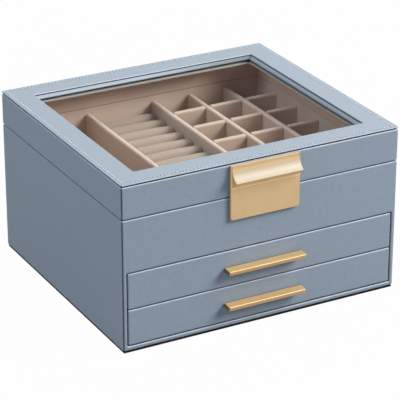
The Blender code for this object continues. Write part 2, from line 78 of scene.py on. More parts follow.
# Lid
RAIL = 19.8 * MM
FRAME_EDGE_R = 0.4 * MM
FRAME_LOW_R = 0.3 * MM
INNER_RIM_R = 0.8 * MM          # at the window's edge
FRAME_RIM = 0.8 * MM            # height of the top frame's rim over the walls
STITCH_INSET = 3.3 * MM         # from the outer edge of the top frame
STITCH_PITCH = 3 * MM
STITCH_LENGTH = 2.5 * MM
STITCH_R = 0.4 * MM
STITCH_LEAN = 0.75 * MM         # each stitch slants across the line
HOLE_R = 0.45 * MM
CREASE_DEPTH = 0.03 * MM
CREASE_HALF = 1.2 * MM
GROOVE_TOP = 134.45 * MM        # the groove between the rim and the bead round the glass
GROOVE_LOW = 133.9 * MM
GROOVE_DEPTH = 0.7 * MM
BEAD = 2.4 * MM
BEAD_LOW = 131.7 * MM
BEAD_SWELL = 0.3 * MM
SIGHT_INSET = RAIL + BEAD
FAR_BEAD = (82.5 * MM, 83.5 * MM)  # along Y, the back run of the bead, which takes painted shade growing towards the right
LEDGE_SHOW = 0.55 * MM          # how far the lining's flange stands in from the bead

FLANGE_T = 1.3 * MM
GLASS_LEDGE_LOW = 127.6 * MM    # from here up: the lining's flange under the glass, and all over it, painted grey as a painted reflection of the glass's edge

# Tray
DIVIDER_ROUND = 2 * MM
LINING_T = 1 * MM
GRID_COLUMNS = 3
ROLLS = 13
ROLL_BLUNT = 14                 # how square the ends are
ROLL_END_DROP = 2.2 * MM
PAINTED_FILL_ACROSS = (20 * MM, 105 * MM)  # painted fill light: the velvet is paler towards the right of the tray
ROLL_CROWN = 0.5 * MM

# Gold fittings
CLASP_T = 2.4 * MM
CLASP_CORNER_R = 2 * MM
CLASP_EDGE_R = 0.28 * MM
CLASP_RIM_R = 0.7 * MM          # along the plate's sides and foot
LIP_HALF = 28.4 * MM
LIP_TOP = 132.4 * MM
LIP_LOW = 115.8 * MM
LIP_REACH = 6.3 * MM
# heights of the painted glow on the plate just under the lip
UNDER_LIP = (114.6 * MM, 119.4 * MM)
SHADE_REACH = 8 * MM            # how far the leatherette darkens beside the fittings
HANDLE_CORNER_R = 1.5 * MM
LIP_TIP_LOW = 120.9 * MM
LIP_TIP_T = 0.6 * MM
LIP_HOLLOW = 2.5                # how sharply the lip turns outwards
LIP_STEPS = 24
HANDLE_FALL = 0.5 * MM          # how far a handle's top face falls towards the front
HANDLE_EDGE_R = 0.6 * MM
HANDLES_BELOW = 62 * MM
PEG_X = 22 * MM
PEG_DROP = 1.9 * MM
PEG_R = 1 * MM
ROUND_STEPS = 48

# Hinges
HINGE_X = 65 * MM
KNUCKLE_R = 2.2 * MM
KNUCKLE_BORE_R = 1.2 * MM
KNUCKLE_W = 8 * MM
LEAF_W = 24 * MM
LEAF_H = 11.5 * MM
LEAF_T = 0.8 * MM
LEAF_CORNER_R = 1.2 * MM
PIN_R = 0.9 * MM
PIN_HEAD_R = 1.6 * MM
PIN_HEAD_T = 0.6 * MM
HINGE_Y = HALF_D + GAP + KNUCKLE_R
HINGE_Z = 107.35 * MM
SCREW_R = 1.3 * MM
SCREW_PROUD = 0.25 * MM
SCREW_SPREAD = 8 * MM           # from the middle of a leaf to each screw
SCREW_RISE = 7.6 * MM           # from the pin's axis to the screws

# Drawers
FRONT_T = 5 * MM
FRONT_EDGE_R = 1 * MM
FRONT_CORNER_R = 1.1 * MM
SIDE_LINING_T = 0.5 * MM

# Camera, as the photograph was taken
AZIMUTH = math.radians(-28.411)
ELEVATION = math.radians(24.173)
DISTANCE = 1657.25 * MM
LENS = 189.7
SENSOR = 36
AIM = Vector((0, 0, 67.5 * MM))
AIM_RIGHT = 3.15 * MM
AIM_UP = -9.15 * MM


# Node materials

class Finish:
    """A material whose nodes are made one by one."""

    def __init__(self, name):
        self.material = bpy.data.materials.new(name)
        self.material.use_nodes = True
        self.tree = self.material.node_tree
        self.shader = self.tree.nodes["Principled BSDF"]
        place = self.tree.nodes.new("ShaderNodeTexCoord")
        self.place = place.outputs["Object"]
        self.normal = place.outputs["Normal"]

    def node(self, kind, inputs=None, **settings):
        made = self.tree.nodes.new("ShaderNode" + kind)
        for name, value in settings.items():
            setattr(made, name, value)
        for name, value in (inputs or {}).items():
            self.feed(made.inputs[name], value)
        return made

    def feed(self, socket, value):
        if isinstance(value, bpy.types.NodeSocket):
            self.tree.links.new(value, socket)
        else:
            socket.default_value = value

    def set(self, name, value):
        self.feed(self.shader.inputs[name], value)

    def noise(self, scale, detail=2.0, roughness=0.5, place=None):
        """Soft noise from 0 to 1, with scale in cells per metre."""
        inputs = {"Vector": place or self.place, "Scale": scale, "Detail": detail, "Roughness": roughness}
        return self.node("TexNoise", inputs).outputs["Fac"]

    def cells(self, scale, feature="F1"):
        inputs = {"Vector": self.place, "Scale": scale}
        return self.node("TexVoronoi", inputs, feature=feature).outputs["Distance"]

    def math(self, operation, a, b=0.0, clamp=False):
        made = self.node("Math", operation=operation, use_clamp=clamp)
        self.feed(made.inputs[0], a)
        self.feed(made.inputs[1], b)
        return made.outputs[0]

    def stretch(self, value, low, high, to_low=0.0, to_high=1.0):
        inputs = {"Value": value, "From Min": low, "From Max": high, "To Min": to_low, "To Max": to_high}
        return self.node("MapRange", inputs, clamp=True).outputs["Result"]

    def blend(self, amount, a, b):
        """A colour between a and b."""
        made = self.node("Mix", data_type="RGBA")
        self.feed(made.inputs["Factor"], amount)
        self.feed(made.inputs[6], a)
        self.feed(made.inputs[7], b)
        return made.outputs[2]

    def bump(self, height, distance, strength=1.0, under=None):
        inputs = {"Height": height, "Distance": distance, "Strength": strength}
        if under is not None:
            inputs["Normal"] = under
        return self.node("Bump", inputs).outputs["Normal"]

    def corner_distance(self):
        """How far a point is from the box's upright corners, measured along X and Y together."""
        parts = self.node("SeparateXYZ", {"Vector": self.place}).outputs
        from_x = self.math("SUBTRACT", HALF_W, self.math("ABSOLUTE", parts["X"]))
        from_y = self.math("SUBTRACT", HALF_D, self.math("ABSOLUTE", parts["Y"]))
        return self.math("MAXIMUM", from_x, from_y)

    def edge_amount(self):
        """0 on flat faces that lie along the axes, rising to 1 on rounded edges."""
        bent = self.node("VectorMath", {0: self.normal}, operation="ABSOLUTE").outputs["Vector"]
        parts = self.node("SeparateXYZ", {"Vector": bent}).outputs
        largest = self.math("MAXIMUM", self.math("MAXIMUM", parts["X"], parts["Y"]), parts["Z"])
        return self.stretch(largest, 0.99, 0.80)

    def height_between(self, low, high):
        """1 between two heights, and 0 outside them."""
        height = self.node("SeparateXYZ", {"Vector": self.place}).outputs["Z"]
        over = self.math("GREATER_THAN", height, low)
        return self.math("MULTIPLY", over, self.math("LESS_THAN", height, high))

    def along(self, axis, low, high):
        """Rises from 0 to 1 between two places along an axis of the object."""
        part = self.node("SeparateXYZ", {"Vector": self.place}).outputs[axis]
        return self.stretch(part, low, high)

    def window_side(self):
        """1 within the window of the lid, where the bead slopes in to the glass, and 0 outside it."""
        parts = self.node("SeparateXYZ", {"Vector": self.place}).outputs
        from_x = self.math("SUBTRACT", HALF_W, self.math("ABSOLUTE", parts["X"]))
        from_y = self.math("SUBTRACT", HALF_D, self.math("ABSOLUTE", parts["Y"]))
        return self.math("GREATER_THAN", self.math("MINIMUM", from_x, from_y), RAIL + 0.02 * MM)

    def facing(self, direction, low, high):
        """Rises from 0 to 1 as the surface turns towards a direction fixed to the piece."""
        inputs = {0: self.normal, 1: direction}
        toward = self.node("VectorMath", inputs, operation="DOT_PRODUCT").outputs["Value"]
        return self.stretch(toward, low, high)

    def crevice(self, reach, low, high):
        """Rises from 0 in the open to 1 far into gaps and seams, from ambient occlusion: a mask for painted shade."""
        shut = self.node("AmbientOcclusion", {"Distance": reach}, samples=6).outputs["AO"]
        return self.stretch(shut, high, low)


def colour(red, green, blue):
    return (red, green, blue, 1.0)


LEATHER_BLUE = colour(0.300, 0.371, 0.460)
# painted shade beside the fittings
LEATHER_SHADE = colour(0.140, 0.215, 0.340)
# painted sheen: the paler, less blue tone of faces that look up
LEATHER_PAINTED_SHEEN = colour(0.317, 0.380, 0.438)
LEATHER_PALE = colour(0.313, 0.385, 0.475)
# painted highlight on edges that face the light, and also a tone of the thread
LEATHER_HIGHLIGHT_AND_THREAD = colour(0.72, 0.79, 0.87)
# grain specks, and painted shade in the corner seams and needle holes
LEATHER_SEAM = colour(0.075, 0.095, 0.13)
# painted shade in gaps, crevices and needle holes
LEATHER_GAP_AND_HOLE_SHADE = colour(0.012, 0.02, 0.035)
THREAD_PALE = colour(0.60, 0.66, 0.73)
VELVET = colour(0.63, 0.48, 0.39)
VELVET_DEEP = colour(0.56, 0.415, 0.33)
VELVET_PALE = colour(0.74, 0.60, 0.51)
# painted fill light towards the right of the tray
VELVET_PAINTED_FILL = colour(0.90, 0.66, 0.55)
# painted light on the dividers' top faces
VELVET_PAINTED_TOP_LIGHT = colour(0.80, 0.68, 0.60)
# painted shade: a shaded tone of the velvet
VELVET_SHADE = colour(0.41, 0.32, 0.27)
# painted light: a lit tone of the velvet
VELVET_LIT = colour(0.66, 0.52, 0.45)
# painted shade on the lining's floors
VELVET_PAINTED_FLOOR_SHADE = colour(0.37, 0.28, 0.23)
# painted reflection of the glass's edge on the flange
VELVET_GLASS_REFLECTION = colour(0.44, 0.39, 0.37)
GOLD = colour(0.60, 0.42, 0.225)
GOLD_PALE = colour(0.65, 0.47, 0.27)
# painted highlight on the lip's hollow, paler and less yellow
GOLD_LIP_HIGHLIGHT = colour(0.42, 0.378, 0.30)
# painted highlight on the handles' ridges
GOLD_RIDGE_HIGHLIGHT = colour(0.88, 0.66, 0.42)
# painted glow under the lip and on faces that look left
GOLD_PAINTED_GLOW = colour(0.86, 0.60, 0.31)
# painted shade that dims the light's highlight in the lip's hollow
GOLD_DIMMED_HIGHLIGHT = colour(0.26, 0.235, 0.185)
# painted light on the handles' top faces
GOLD_LIT_TOP = colour(0.74, 0.51, 0.235)
# painted shade on the handles' front faces
GOLD_SHADED_FRONT = colour(0.47, 0.30, 0.135)
# painted shade on the handles' left ends
GOLD_SHADED_END = colour(0.27, 0.155, 0.075)
BOARD_BLUE = colour(0.20, 0.25, 0.32)
BOARD_PALE = colour(0.25, 0.30, 0.37)
FELT_BLACK = colour(0.012, 0.013, 0.016)
FELT_GREY = colour(0.035, 0.036, 0.04)
STEEL = colour(0.56, 0.56, 0.57)
STEEL_DARK = colour(0.40, 0.40, 0.41)


def leatherette():
    """Blue leatherette: fine pebble grain and faint mottling, with a painted sheen on faces that look up, painted
    highlights on rounded edges that face the light, and painted shade in the corner seams, in gaps and crevices and
    beside the fittings.
    """
    made = Finish("blue_leatherette")
    mottle = made.stretch(made.noise(230, 3.0, 0.6), 0.3, 0.7)
    grain = made.cells(1500)
    fine = made.noise(3200, 2.0)
    ground = made.blend(mottle, LEATHER_BLUE, LEATHER_PALE)
    # painted sheen: faces that look up turn paler and less blue, in place of the sheen of the light on the top
    painted_top_sheen = made.math("MULTIPLY", made.facing((0, 0, 1), 0.8, 0.95), 0.75)
    ground = made.blend(painted_top_sheen, ground, LEATHER_PAINTED_SHEEN)
    speck = made.math("MULTIPLY", made.stretch(grain, 0.1, 0.9), 0.22)
    ground = made.blend(speck, ground, LEATHER_SEAM)
    # painted highlight: rounded edges that face up, front and right, and the outer top edges of the lid walls under the
    # frame, turn pale; weaker inside the window
    painted_edge_highlight = made.math("MULTIPLY", made.edge_amount(), made.stretch(made.noise(260, 3.0), 0.3, 0.7, 0.45, 0.7))
    under_frame = made.height_between(LID_HIGH.z - 12 * MM, LID_HIGH.z - FRAME_RIM - 0.1 * MM)
    under_edge = made.math("MULTIPLY", under_frame, made.facing((0, 0, 1), 0.1, 0.35))
    painted_edge_highlight = made.math("MULTIPLY", painted_edge_highlight, made.math("MAXIMUM", under_edge, made.facing((0.45, -0.5, 0.74), 0.2, 0.6)))
    painted_edge_highlight = made.math("MULTIPLY", painted_edge_highlight, made.stretch(made.window_side(), 0.0, 1.0, 1.0, 0.35))
    ground = made.blend(painted_edge_highlight, ground, LEATHER_HIGHLIGHT_AND_THREAD)
    # painted shade: darker along the upright corner seams, where the mitre's groove lies in shade
    seam = made.stretch(made.corner_distance(), 0.65 * MM, 1.15 * MM, 0.85, 0.0)
    ground = made.blend(seam, ground, LEATHER_SEAM)
    # painted shade: front faces darken close to the clasp and handles, as their contact shadow
    shade = made.math("MULTIPLY", made.crevice(SHADE_REACH, 0.45, 0.95), made.facing((0, -1, 0), 0.9, 0.98))
    ground = made.blend(made.math("MULTIPLY", shade, 0.5), ground, LEATHER_SHADE)
    # painted shade: near black far into gaps and crevices, on the lid walls' upward faces in the gap under the frame,
    # on edges that face right and a little to the front, and along the back run of the bead towards the right
    painted_gap_shade = made.crevice(2 * MM, 0.12, 0.38)
    painted_gap_shade = made.math("MULTIPLY", painted_gap_shade, made.stretch(made.window_side(), 0.0, 1.0, 1.0, 0.35))
    under_frame = made.math("MULTIPLY", under_frame, made.facing((0, 0, 1), 0.80, 0.93))
    painted_gap_shade = made.math("MAXIMUM", painted_gap_shade, under_frame)
    turned_edge = made.math("MULTIPLY", made.facing((0.8, -0.6, 0), 0.85, 0.97), 0.6)
    painted_gap_shade = made.math("MAXIMUM", painted_gap_shade, turned_edge)
    far_bead = made.math("MULTIPLY", made.window_side(), made.along("Y", *FAR_BEAD))
    painted_gap_shade = made.math("MAXIMUM", painted_gap_shade, made.math("MULTIPLY", far_bead, made.along("X", 0.0, 0.15)))
    made.set("Base Color", made.blend(painted_gap_shade, ground, LEATHER_GAP_AND_HOLE_SHADE))
    made.set("Roughness", made.stretch(made.noise(900, 2.0), 0.3, 0.7, 0.44, 0.56))
    made.set("Specular IOR Level", 0.35)
    made.set("Sheen Weight", 0.05)
    pebbles = made.bump(grain, 0.09 * MM, 0.55)
    made.set("Normal", made.bump(fine, 0.04 * MM, 0.4, pebbles))
    return made.material


def thread():
    """Pale blue sewing thread with a twist."""
    made = Finish("stitching_thread")
    twist = made.noise(2600, 2.0)
    made.set("Base Color", made.blend(made.stretch(twist, 0.2, 0.5), LEATHER_HIGHLIGHT_AND_THREAD, THREAD_PALE))
    made.set("Roughness", 0.7)
    made.set("Normal", made.bump(twist, 0.05 * MM, 0.6))
    return made.material


def needle_hole():
    """Painted shade: the dark mouth of a needle hole in the leatherette, a flat dark disc."""
    made = Finish("needle_hole")
    pitted = made.noise(2200, 2.0)
    made.set("Base Color", made.blend(made.stretch(pitted, 0.3, 0.7), LEATHER_SEAM, LEATHER_GAP_AND_HOLE_SHADE))
    made.set("Roughness", 0.8)
    made.set("Normal", made.bump(pitted, 0.05 * MM, 0.5))
    return made.material


def velvet(name, tone, tone_amount, top_tone, top_amount):
    """Beige velvet: a soft pile brushed this way and that, with a pale sheen at grazing angles.

    It leans towards tone by tone_amount, each look's painted lit tone or painted shaded tone of the same velvet, and
    towards top_tone on faces that look up by top_amount, painted light on the dividers' top faces and painted shade on
    the lining's floors. It is painted paler towards the right of the tray as painted fill light, and grey over the
    flange under the glass as a painted reflection of the glass's edge.
    """
    made = Finish(name)
    brushed = made.stretch(made.noise(70, 3.0, 0.55), 0.32, 0.68)
    pile = made.noise(2400, 2.0, 0.6)
    ground = made.blend(brushed, VELVET_DEEP, VELVET)
    ground = made.blend(made.stretch(pile, 0.35, 0.75, 0.0, 0.5), ground, VELVET_PALE)
    # painted light and shade: each look's lit tone or shaded tone of the same velvet
    ground = made.blend(tone_amount, ground, tone)
    # faces that look up: painted light on the dividers' top faces and painted shade on the lining's floors
    upward = made.math("MULTIPLY", made.facing((0, 0, 1), 0.05, 0.75), top_amount)
    ground = made.blend(upward, ground, top_tone)
    # painted fill light: the velvet turns paler and warmer towards the right of the tray
    pale = made.math("MULTIPLY", made.along("X", *PAINTED_FILL_ACROSS), 0.5)
    ground = made.blend(pale, ground, VELVET_PAINTED_FILL)
    # painted reflection: grey over the lining's flange under the glass and above it, for the glass's edge
    flange = made.height_between(GLASS_LEDGE_LOW, LID_HIGH.z)
    made.set("Base Color", made.blend(flange, ground, VELVET_GLASS_REFLECTION))
    made.set("Roughness", made.stretch(pile, 0.3, 0.7, 0.85, 0.98))
    made.set("Specular IOR Level", 0.15)
    made.set("Sheen Weight", 0.45)
    made.set("Sheen Roughness", 0.45)
    made.set("Sheen Tint", colour(1.0, 0.90, 0.78))
    nap = made.bump(made.noise(420, 2.0), 0.12 * MM, 0.4)
    made.set("Normal", made.bump(pile, 0.08 * MM, 0.5, nap))
    return made.material


def gold():
    """Satin gold plate, brushed lengthwise, a little paler where it is rubbed, with painted highlights on the lip's
    hollow and the handles' ridges, painted shade that dims the highlight in the hollow, a painted glow under the lip
    and on faces that look left, painted light on the handles' top faces and painted shade on their front faces and left
    ends.
    """
    made = Finish("satin_gold")
    across = made.node("Mapping", {"Vector": made.place, "Scale": (60.0, 900.0, 2600.0)}).outputs["Vector"]
    brush = made.noise(1.0, 3.0, 0.6, across)
    cloud = made.noise(90, 2.0)
    ground = made.blend(made.stretch(cloud, 0.3, 0.7, 0.0, 0.6), GOLD, GOLD_PALE)
    handles = made.height_between(0.0, HANDLES_BELOW)
    # painted highlight on faces that turn up and to the front: the lip's hollow on the clasp, the ridge on the handles
    painted_crest_highlight = made.blend(handles, GOLD_LIP_HIGHLIGHT, GOLD_RIDGE_HIGHLIGHT)
    ground = made.blend(made.facing((0, -0.55, 0.83), 0.76, 0.95), ground, painted_crest_highlight)
    # painted shade: darker where the light's highlight peaks in the lip's hollow
    painted_highlight_dimming = made.math("MULTIPLY", made.facing((0, -0.87, 0.49), 0.955, 1.0), 0.6)
    ground = made.blend(painted_highlight_dimming, ground, GOLD_DIMMED_HIGHLIGHT)
    # painted glow: brighter on the plate just under the lip and on the lip's underside, which lie in its shade, as the
    # lip's reflection
    painted_glow_under_lip = made.math("MULTIPLY", made.height_between(*UNDER_LIP), made.facing((0, -0.9, -0.43), 0.75, 0.85))
    ground = made.blend(painted_glow_under_lip, ground, GOLD_PAINTED_GLOW)
    # painted light: the handles' top faces are brighter
    painted_lit_tops = made.math("MULTIPLY", handles, made.facing((0, 0, 1), 0.93, 0.99))
    ground = made.blend(painted_lit_tops, ground, GOLD_LIT_TOP)
    # painted shade: the handles' front faces are darker, a painted reflection of their darker surroundings
    painted_shaded_fronts = made.math("MULTIPLY", handles, made.facing((0, -1, 0), 0.88, 0.98))
    # painted glow: faces that look left, away from the light and in shade, are brighter
    leftward = made.facing((-1, 0, 0), 0.3, 0.8)
    ground = made.blend(leftward, ground, GOLD_PAINTED_GLOW)
    # painted shade: the handles' left ends, which face away from the light, are dark brown
    ends = made.math("MULTIPLY", handles, leftward)
    ground = made.blend(painted_shaded_fronts, ground, GOLD_SHADED_FRONT)
    made.set("Base Color", made.blend(ends, ground, GOLD_SHADED_END))
    made.set("Metallic", 0.6)
    made.set("Roughness", made.stretch(brush, 0.25, 0.75, 0.54, 0.64))
    made.set("Normal", made.bump(brush, 0.012 * MM, 0.3))
    return made.material


def steel():
    """Plain bright steel."""
    made = Finish("bright_steel")
    smudge = made.noise(700, 3.0)
    made.set("Base Color", made.blend(smudge, STEEL_DARK, STEEL))
    made.set("Metallic", 1.0)
    made.set("Roughness", made.stretch(smudge, 0.3, 0.7, 0.24, 0.40))
    made.set("Normal", made.bump(made.noise(3000, 2.0), 0.01 * MM, 0.3))
    return made.material


def felt():
    """Black felt with short fibres."""
    made = Finish("black_felt")
    fibre = made.noise(3500, 3.0, 0.7)
    made.set("Base Color", made.blend(made.stretch(fibre, 0.4, 0.75), FELT_BLACK, FELT_GREY))
    made.set("Roughness", 0.95)
    made.set("Specular IOR Level", 0.1)
    made.set("Normal", made.bump(fibre, 0.15 * MM, 0.7))
    return made.material


def covered_board():
    """Board covered in plain blue paper."""
    made = Finish("covered_board")
    fibre = made.noise(1400, 4.0, 0.65)
    cloud = made.noise(45, 2.0)
    ground = made.blend(made.stretch(cloud, 0.3, 0.7), BOARD_BLUE, BOARD_PALE)
    made.set("Base Color", made.blend(made.stretch(fibre, 0.5, 0.8, 0.0, 0.4), ground, LEATHER_PALE))
    made.set("Roughness", 0.72)
    made.set("Specular IOR Level", 0.3)
    made.set("Normal", made.bump(fibre, 0.05 * MM, 0.5))
    return made.material


def glass():
    """Thin clear glass: seen through, with a faint reflection and a few specks of dust."""
    made = Finish("clear_glass")
    tree = made.tree
    output = tree.nodes["Material Output"]
    tree.nodes.remove(made.shader)
    clear = made.node("BsdfTransparent", {"Color": colour(0.975, 0.985, 0.98)})
    shine = made.node("BsdfGlossy", {"Color": colour(1.0, 1.0, 1.0), "Roughness": 0.03})
    facing = made.node("LayerWeight", {"Blend": 0.5}).outputs["Facing"]
    grazing = made.math("MULTIPLY", made.math("POWER", facing, 6.0), 0.04)
    dust = made.stretch(made.noise(1300, 3.0, 0.7), 0.62, 0.85, 0.0, 0.004)
    amount = made.math("ADD", grazing, dust)
    mixed = made.node("MixShader", {"Fac": amount})
    tree.links.new(clear.outputs[0], mixed.inputs[1])
    tree.links.new(shine.outputs[0], mixed.inputs[2])
    tree.links.new(mixed.outputs[0], output.inputs["Surface"])
    return made.material


LOOKS = {
    "leatherette": leatherette(),
    # the velvet looks are lit and shaded copies of one velvet: painted light on the linings, painted shade on the
    # divider sides and cushions
    "velvet": velvet("beige_velvet", VELVET_LIT, 0.75, VELVET_PAINTED_FLOOR_SHADE, 0.8),
    "lid_velvet": velvet("lid_velvet_painted_lit", VELVET_LIT, 0.7, VELVET_SHADE, 0.0),
    "edging": velvet("divider_velvet", VELVET_SHADE, 0.35, VELVET_PAINTED_TOP_LIGHT, 0.5),
    "cross_edging": velvet("cross_divider_velvet", VELVET_SHADE, 0.45, VELVET_PAINTED_TOP_LIGHT, 0.25),
    "cushion": velvet("cushion_velvet", VELVET_SHADE, 1.0, VELVET_SHADE, 0.0),
    "board": covered_board(),
    "gold": gold(),
    "glass": glass(),
    "felt": felt(),
    "steel": steel(),
    "thread": thread(),
    "hole": needle_hole(),
}


# Mesh tools

def to_object(name, mesh_data, look, smooth=40):
    """An object from mesh data, faces out, smooth except at edges sharper than smooth degrees."""
    bmesh.ops.recalc_face_normals(mesh_data, faces=mesh_data.faces)
    mesh = bpy.data.meshes.new(name)
    mesh_data.to_mesh(mesh)
    mesh_data.free()
    mesh.shade_smooth()
    mesh.set_sharp_from_angle(angle=math.radians(smooth))
    mesh.materials.append(LOOKS[look])
    obj = bpy.data.objects.new(name, mesh)
    bpy.context.scene.collection.objects.link(obj)
    return obj


def piece(name, mesh_data, look, body, stands_for=(), smooth=40):
    """A finished piece that rides on a body and stands for the CAD nodes named."""
    obj = to_object(name, mesh_data, look, smooth)
    flatten_shading(obj)
    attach(obj, body)
    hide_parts(*stands_for)
    return obj


def flatten_shading(obj):
    """Large faces stay flat in the light, and rounded edges carry the turn."""
    weighted = obj.modifiers.new("flat faces", "WEIGHTED_NORMAL")
    weighted.keep_sharp = True


def settle(obj):
    """Applies every modifier to the mesh."""
    graph = bpy.context.evaluated_depsgraph_get()
    mesh = bpy.data.meshes.new_from_object(obj.evaluated_get(graph))
    obj.modifiers.clear()
    obj.data = mesh


def loft(rings, closed=False):
    """A solid through rings of points that all have the same count; closed joins the last ring to the first."""
    mesh_data = bmesh.new()
    rows = [[mesh_data.verts.new(point) for point in ring] for ring in rings]
    count = len(rings[0])
    pairs = list(zip(rows, rows[1:]))
    if closed:
        pairs.append((rows[-1], rows[0]))
    for low, high in pairs:
        for k in range(count):
            following = (k + 1) % count
            mesh_data.faces.new((low[k], low[following], high[following], high[k]))
    if not closed:
        mesh_data.faces.new(rows[0])
        mesh_data.faces.new(rows[-1])
    return mesh_data


def quarter_round(radius, steps=EDGE_STEPS):
    """Pairs of inset and depth along a rounded edge, from the face (depth 0) to the side (inset 0)."""
    pairs = []
    for k in range(steps + 1):
        angle = math.radians(90 * k / steps)
        pairs.append((radius - radius * math.sin(angle), radius - radius * math.cos(angle)))
    return pairs


def rounded_rectangle(half_x, half_y, radius, z, steps=CORNER_STEPS):
    """A ring of points at height z, with round corners."""
    ring = []
    for sign_x, sign_y, start in ((1, -1, -90), (1, 1, 0), (-1, 1, 90), (-1, -1, 180)):
        for k in range(steps + 1):
            angle = math.radians(start + 90 * k / steps)
            x = sign_x * (half_x - radius) + radius * math.cos(angle)
            y = sign_y * (half_y - radius) + radius * math.sin(angle)
            ring.append((x, y, z))
    return ring


def rounded_block(half_x, half_y, low, high, corner, low_edge, high_edge):
    """A block with round upright corners and rounded rims at its low and high faces."""
    layers = [(inset, low + depth) for inset, depth in quarter_round(low_edge)]
    layers += [(inset, high - depth) for inset, depth in reversed(quarter_round(high_edge))]
    return loft([rounded_rectangle(half_x - i, half_y - i, corner - i, z) for i, z in layers])


def soft_box(low, high, round_edge):
    """A thin panel between two corners with softly rounded edges all round its upright outline."""
    low = Vector(low)
    high = Vector(high)
    middle = (low + high) / 2
    half = (high - low) / 2
    radius = min(round_edge, half.x * 0.9, half.y * 0.9, half.z * 0.9)
    mesh_data = rounded_block(half.x, half.y, -half.z, half.z, radius * 1.1, radius, radius)
    bmesh.ops.transform(mesh_data, matrix=Matrix.Translation(middle), verts=mesh_data.verts)
    return mesh_data


def turned(profile, place, axis_to):
    """A solid of revolution: profile holds radius and height pairs, its axis is turned from +Z to axis_to."""
    rings = []
    for radius, height in profile:
        angles = [2 * math.pi * k / ROUND_STEPS for k in range(ROUND_STEPS)]
        rings.append([(radius * math.cos(a), radius * math.sin(a), height) for a in angles])
    mesh_data = loft(rings)
    turn = Vector((0, 0, 1)).rotation_difference(Vector(axis_to)).to_matrix().to_4x4()
    bmesh.ops.transform(mesh_data, matrix=Matrix.Translation(place) @ turn, verts=mesh_data.verts)
    return mesh_data


def combine(obj, mesh_data, operation="DIFFERENCE"):
    """Cuts mesh_data out of obj, or joins it on, and leaves one clean mesh."""
    tool = to_object("tool", mesh_data, "board")
    change = obj.modifiers.new("combine", "BOOLEAN")
    change.operation = operation
    change.solver = "EXACT"
    change.object = tool
    settle(obj)
    bpy.data.objects.remove(tool)


def smooth_again(obj, degrees=40):
    obj.data.shade_smooth()
    obj.data.set_sharp_from_angle(angle=math.radians(degrees))


def dress(obj, body, stands_for=()):
    """Fixes a piece that was made in several steps to its body."""
    flatten_shading(obj)
    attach(obj, body)
    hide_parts(*stands_for)
    return obj


# Covered walls

def wall_stations(half_length):
    """Along one wall, from end to end: place along it, distance in from its face, the angle turned to,
    and where the station meets the wall's inner face."""
    flat = half_length - CORNER_R
    inner = half_length - WALL - GAP
    stations = []
    for k in range(CORNER_STEPS + 1):
        angle = MITRE_END * k / CORNER_STEPS
        dip = SEAM_DIP * max(0.0, (angle - SEAM_START) / (MITRE_END - SEAM_START))
        along = flat + (CORNER_R - dip) * math.sin(angle)
        inward = CORNER_R - (CORNER_R - dip) * math.cos(angle)
        back = inner - 0.04 * MM * (CORNER_STEPS - k)
        stations.append((along, inward, angle, back))
    return [(-a, i, -t, -b) for a, i, t, b in reversed(stations)] + stations


def covered_wall(outward, low, high, high_edge=EDGE_R):
    """A board wrapped in leatherette: long edges rounded, ends turned round the corner into the mitre."""
    along = Vector((-outward.y, outward.x, 0))
    reach = HALF_W if abs(outward.x) > 0.5 else HALF_D
    half_length = HALF_D if abs(outward.x) > 0.5 else HALF_W
    rim = [(inset, low + depth) for inset, depth in quarter_round(EDGE_R)]
    rim += [(inset, high - depth) for inset, depth in reversed(quarter_round(high_edge))]
    rings = []
    for place, inward, angle, back in wall_stations(half_length):
        face = outward * (reach - inward) + along * place
        normal = outward * math.cos(angle) + along * math.sin(angle)
        ring = [face - normal * inset + Vector((0, 0, z)) for inset, z in rim]
        inside = outward * (reach - WALL) + along * back
        ring += [inside + Vector((0, 0, high)), inside + Vector((0, 0, low))]
        rings.append(ring)
    return loft(rings)


def flared_opening(half_x, half_y, face, end, edge, overcut=1 * MM):
    """A cutter that leaves a rounded rim on the face it enters from above, at height face, down to end."""
    rings = [rounded_rectangle(half_x + edge, half_y + edge, 2 * edge, face + overcut)]
    for inset, depth in quarter_round(edge):
        rings.append(rounded_rectangle(half_x + inset, half_y + inset, edge + inset, face - depth))
    rings.append(rounded_rectangle(half_x, half_y, edge, end - overcut))
    return loft(rings)


def make_case():
    low, high = CASE_LOW.z, CASE_HIGH.z
    for side in ("left", "right"):
        name = f"{side}_side_panel"
        piece(f"{side}_side_cover", covered_wall(SIDES[side], low, high), "leatherette", CASE, [name])
    piece("back_cover", covered_wall(SIDES["back"], low, high), "leatherette", CASE, ["back_panel"])
    front = to_object("front_cover", covered_wall(SIDES["front"], low, high), "leatherette")
    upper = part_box("upper_drawer_front")[1].z + OUTER_RUN
    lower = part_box("lower_drawer_front")[0].z - OUTER_RUN - SLIDE_PLAY
    hole = flared_opening(HALF_W - WALL, (upper - lower) / 2, 0, -WALL, EDGE_R)
    turn = Matrix.Rotation(math.radians(90), 4, "X")
    place = Matrix.Translation((0, -HALF_D, (upper + lower) / 2)) @ turn
    bmesh.ops.transform(hole, matrix=place, verts=hole.verts)
    combine(front, hole)
    magnet_low, magnet_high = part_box("clasp_magnet")
    recess = soft_box(magnet_low - Vector((GAP, GAP, GAP)), magnet_high + Vector((GAP, 2 * GAP, GAP)), 0.1 * MM)
    combine(front, recess)
    smooth_again(front)
    dress(front, CASE, ["front_frame"])


# Lid

def frame_ring(inset, z, corner=None):
    """A ring of the top frame, inset from its outer edge."""
    radius = corner if corner is not None else max(CORNER_R - inset, 0.25 * MM)
    return rounded_rectangle(HALF_W - inset, HALF_D - inset, radius, z)


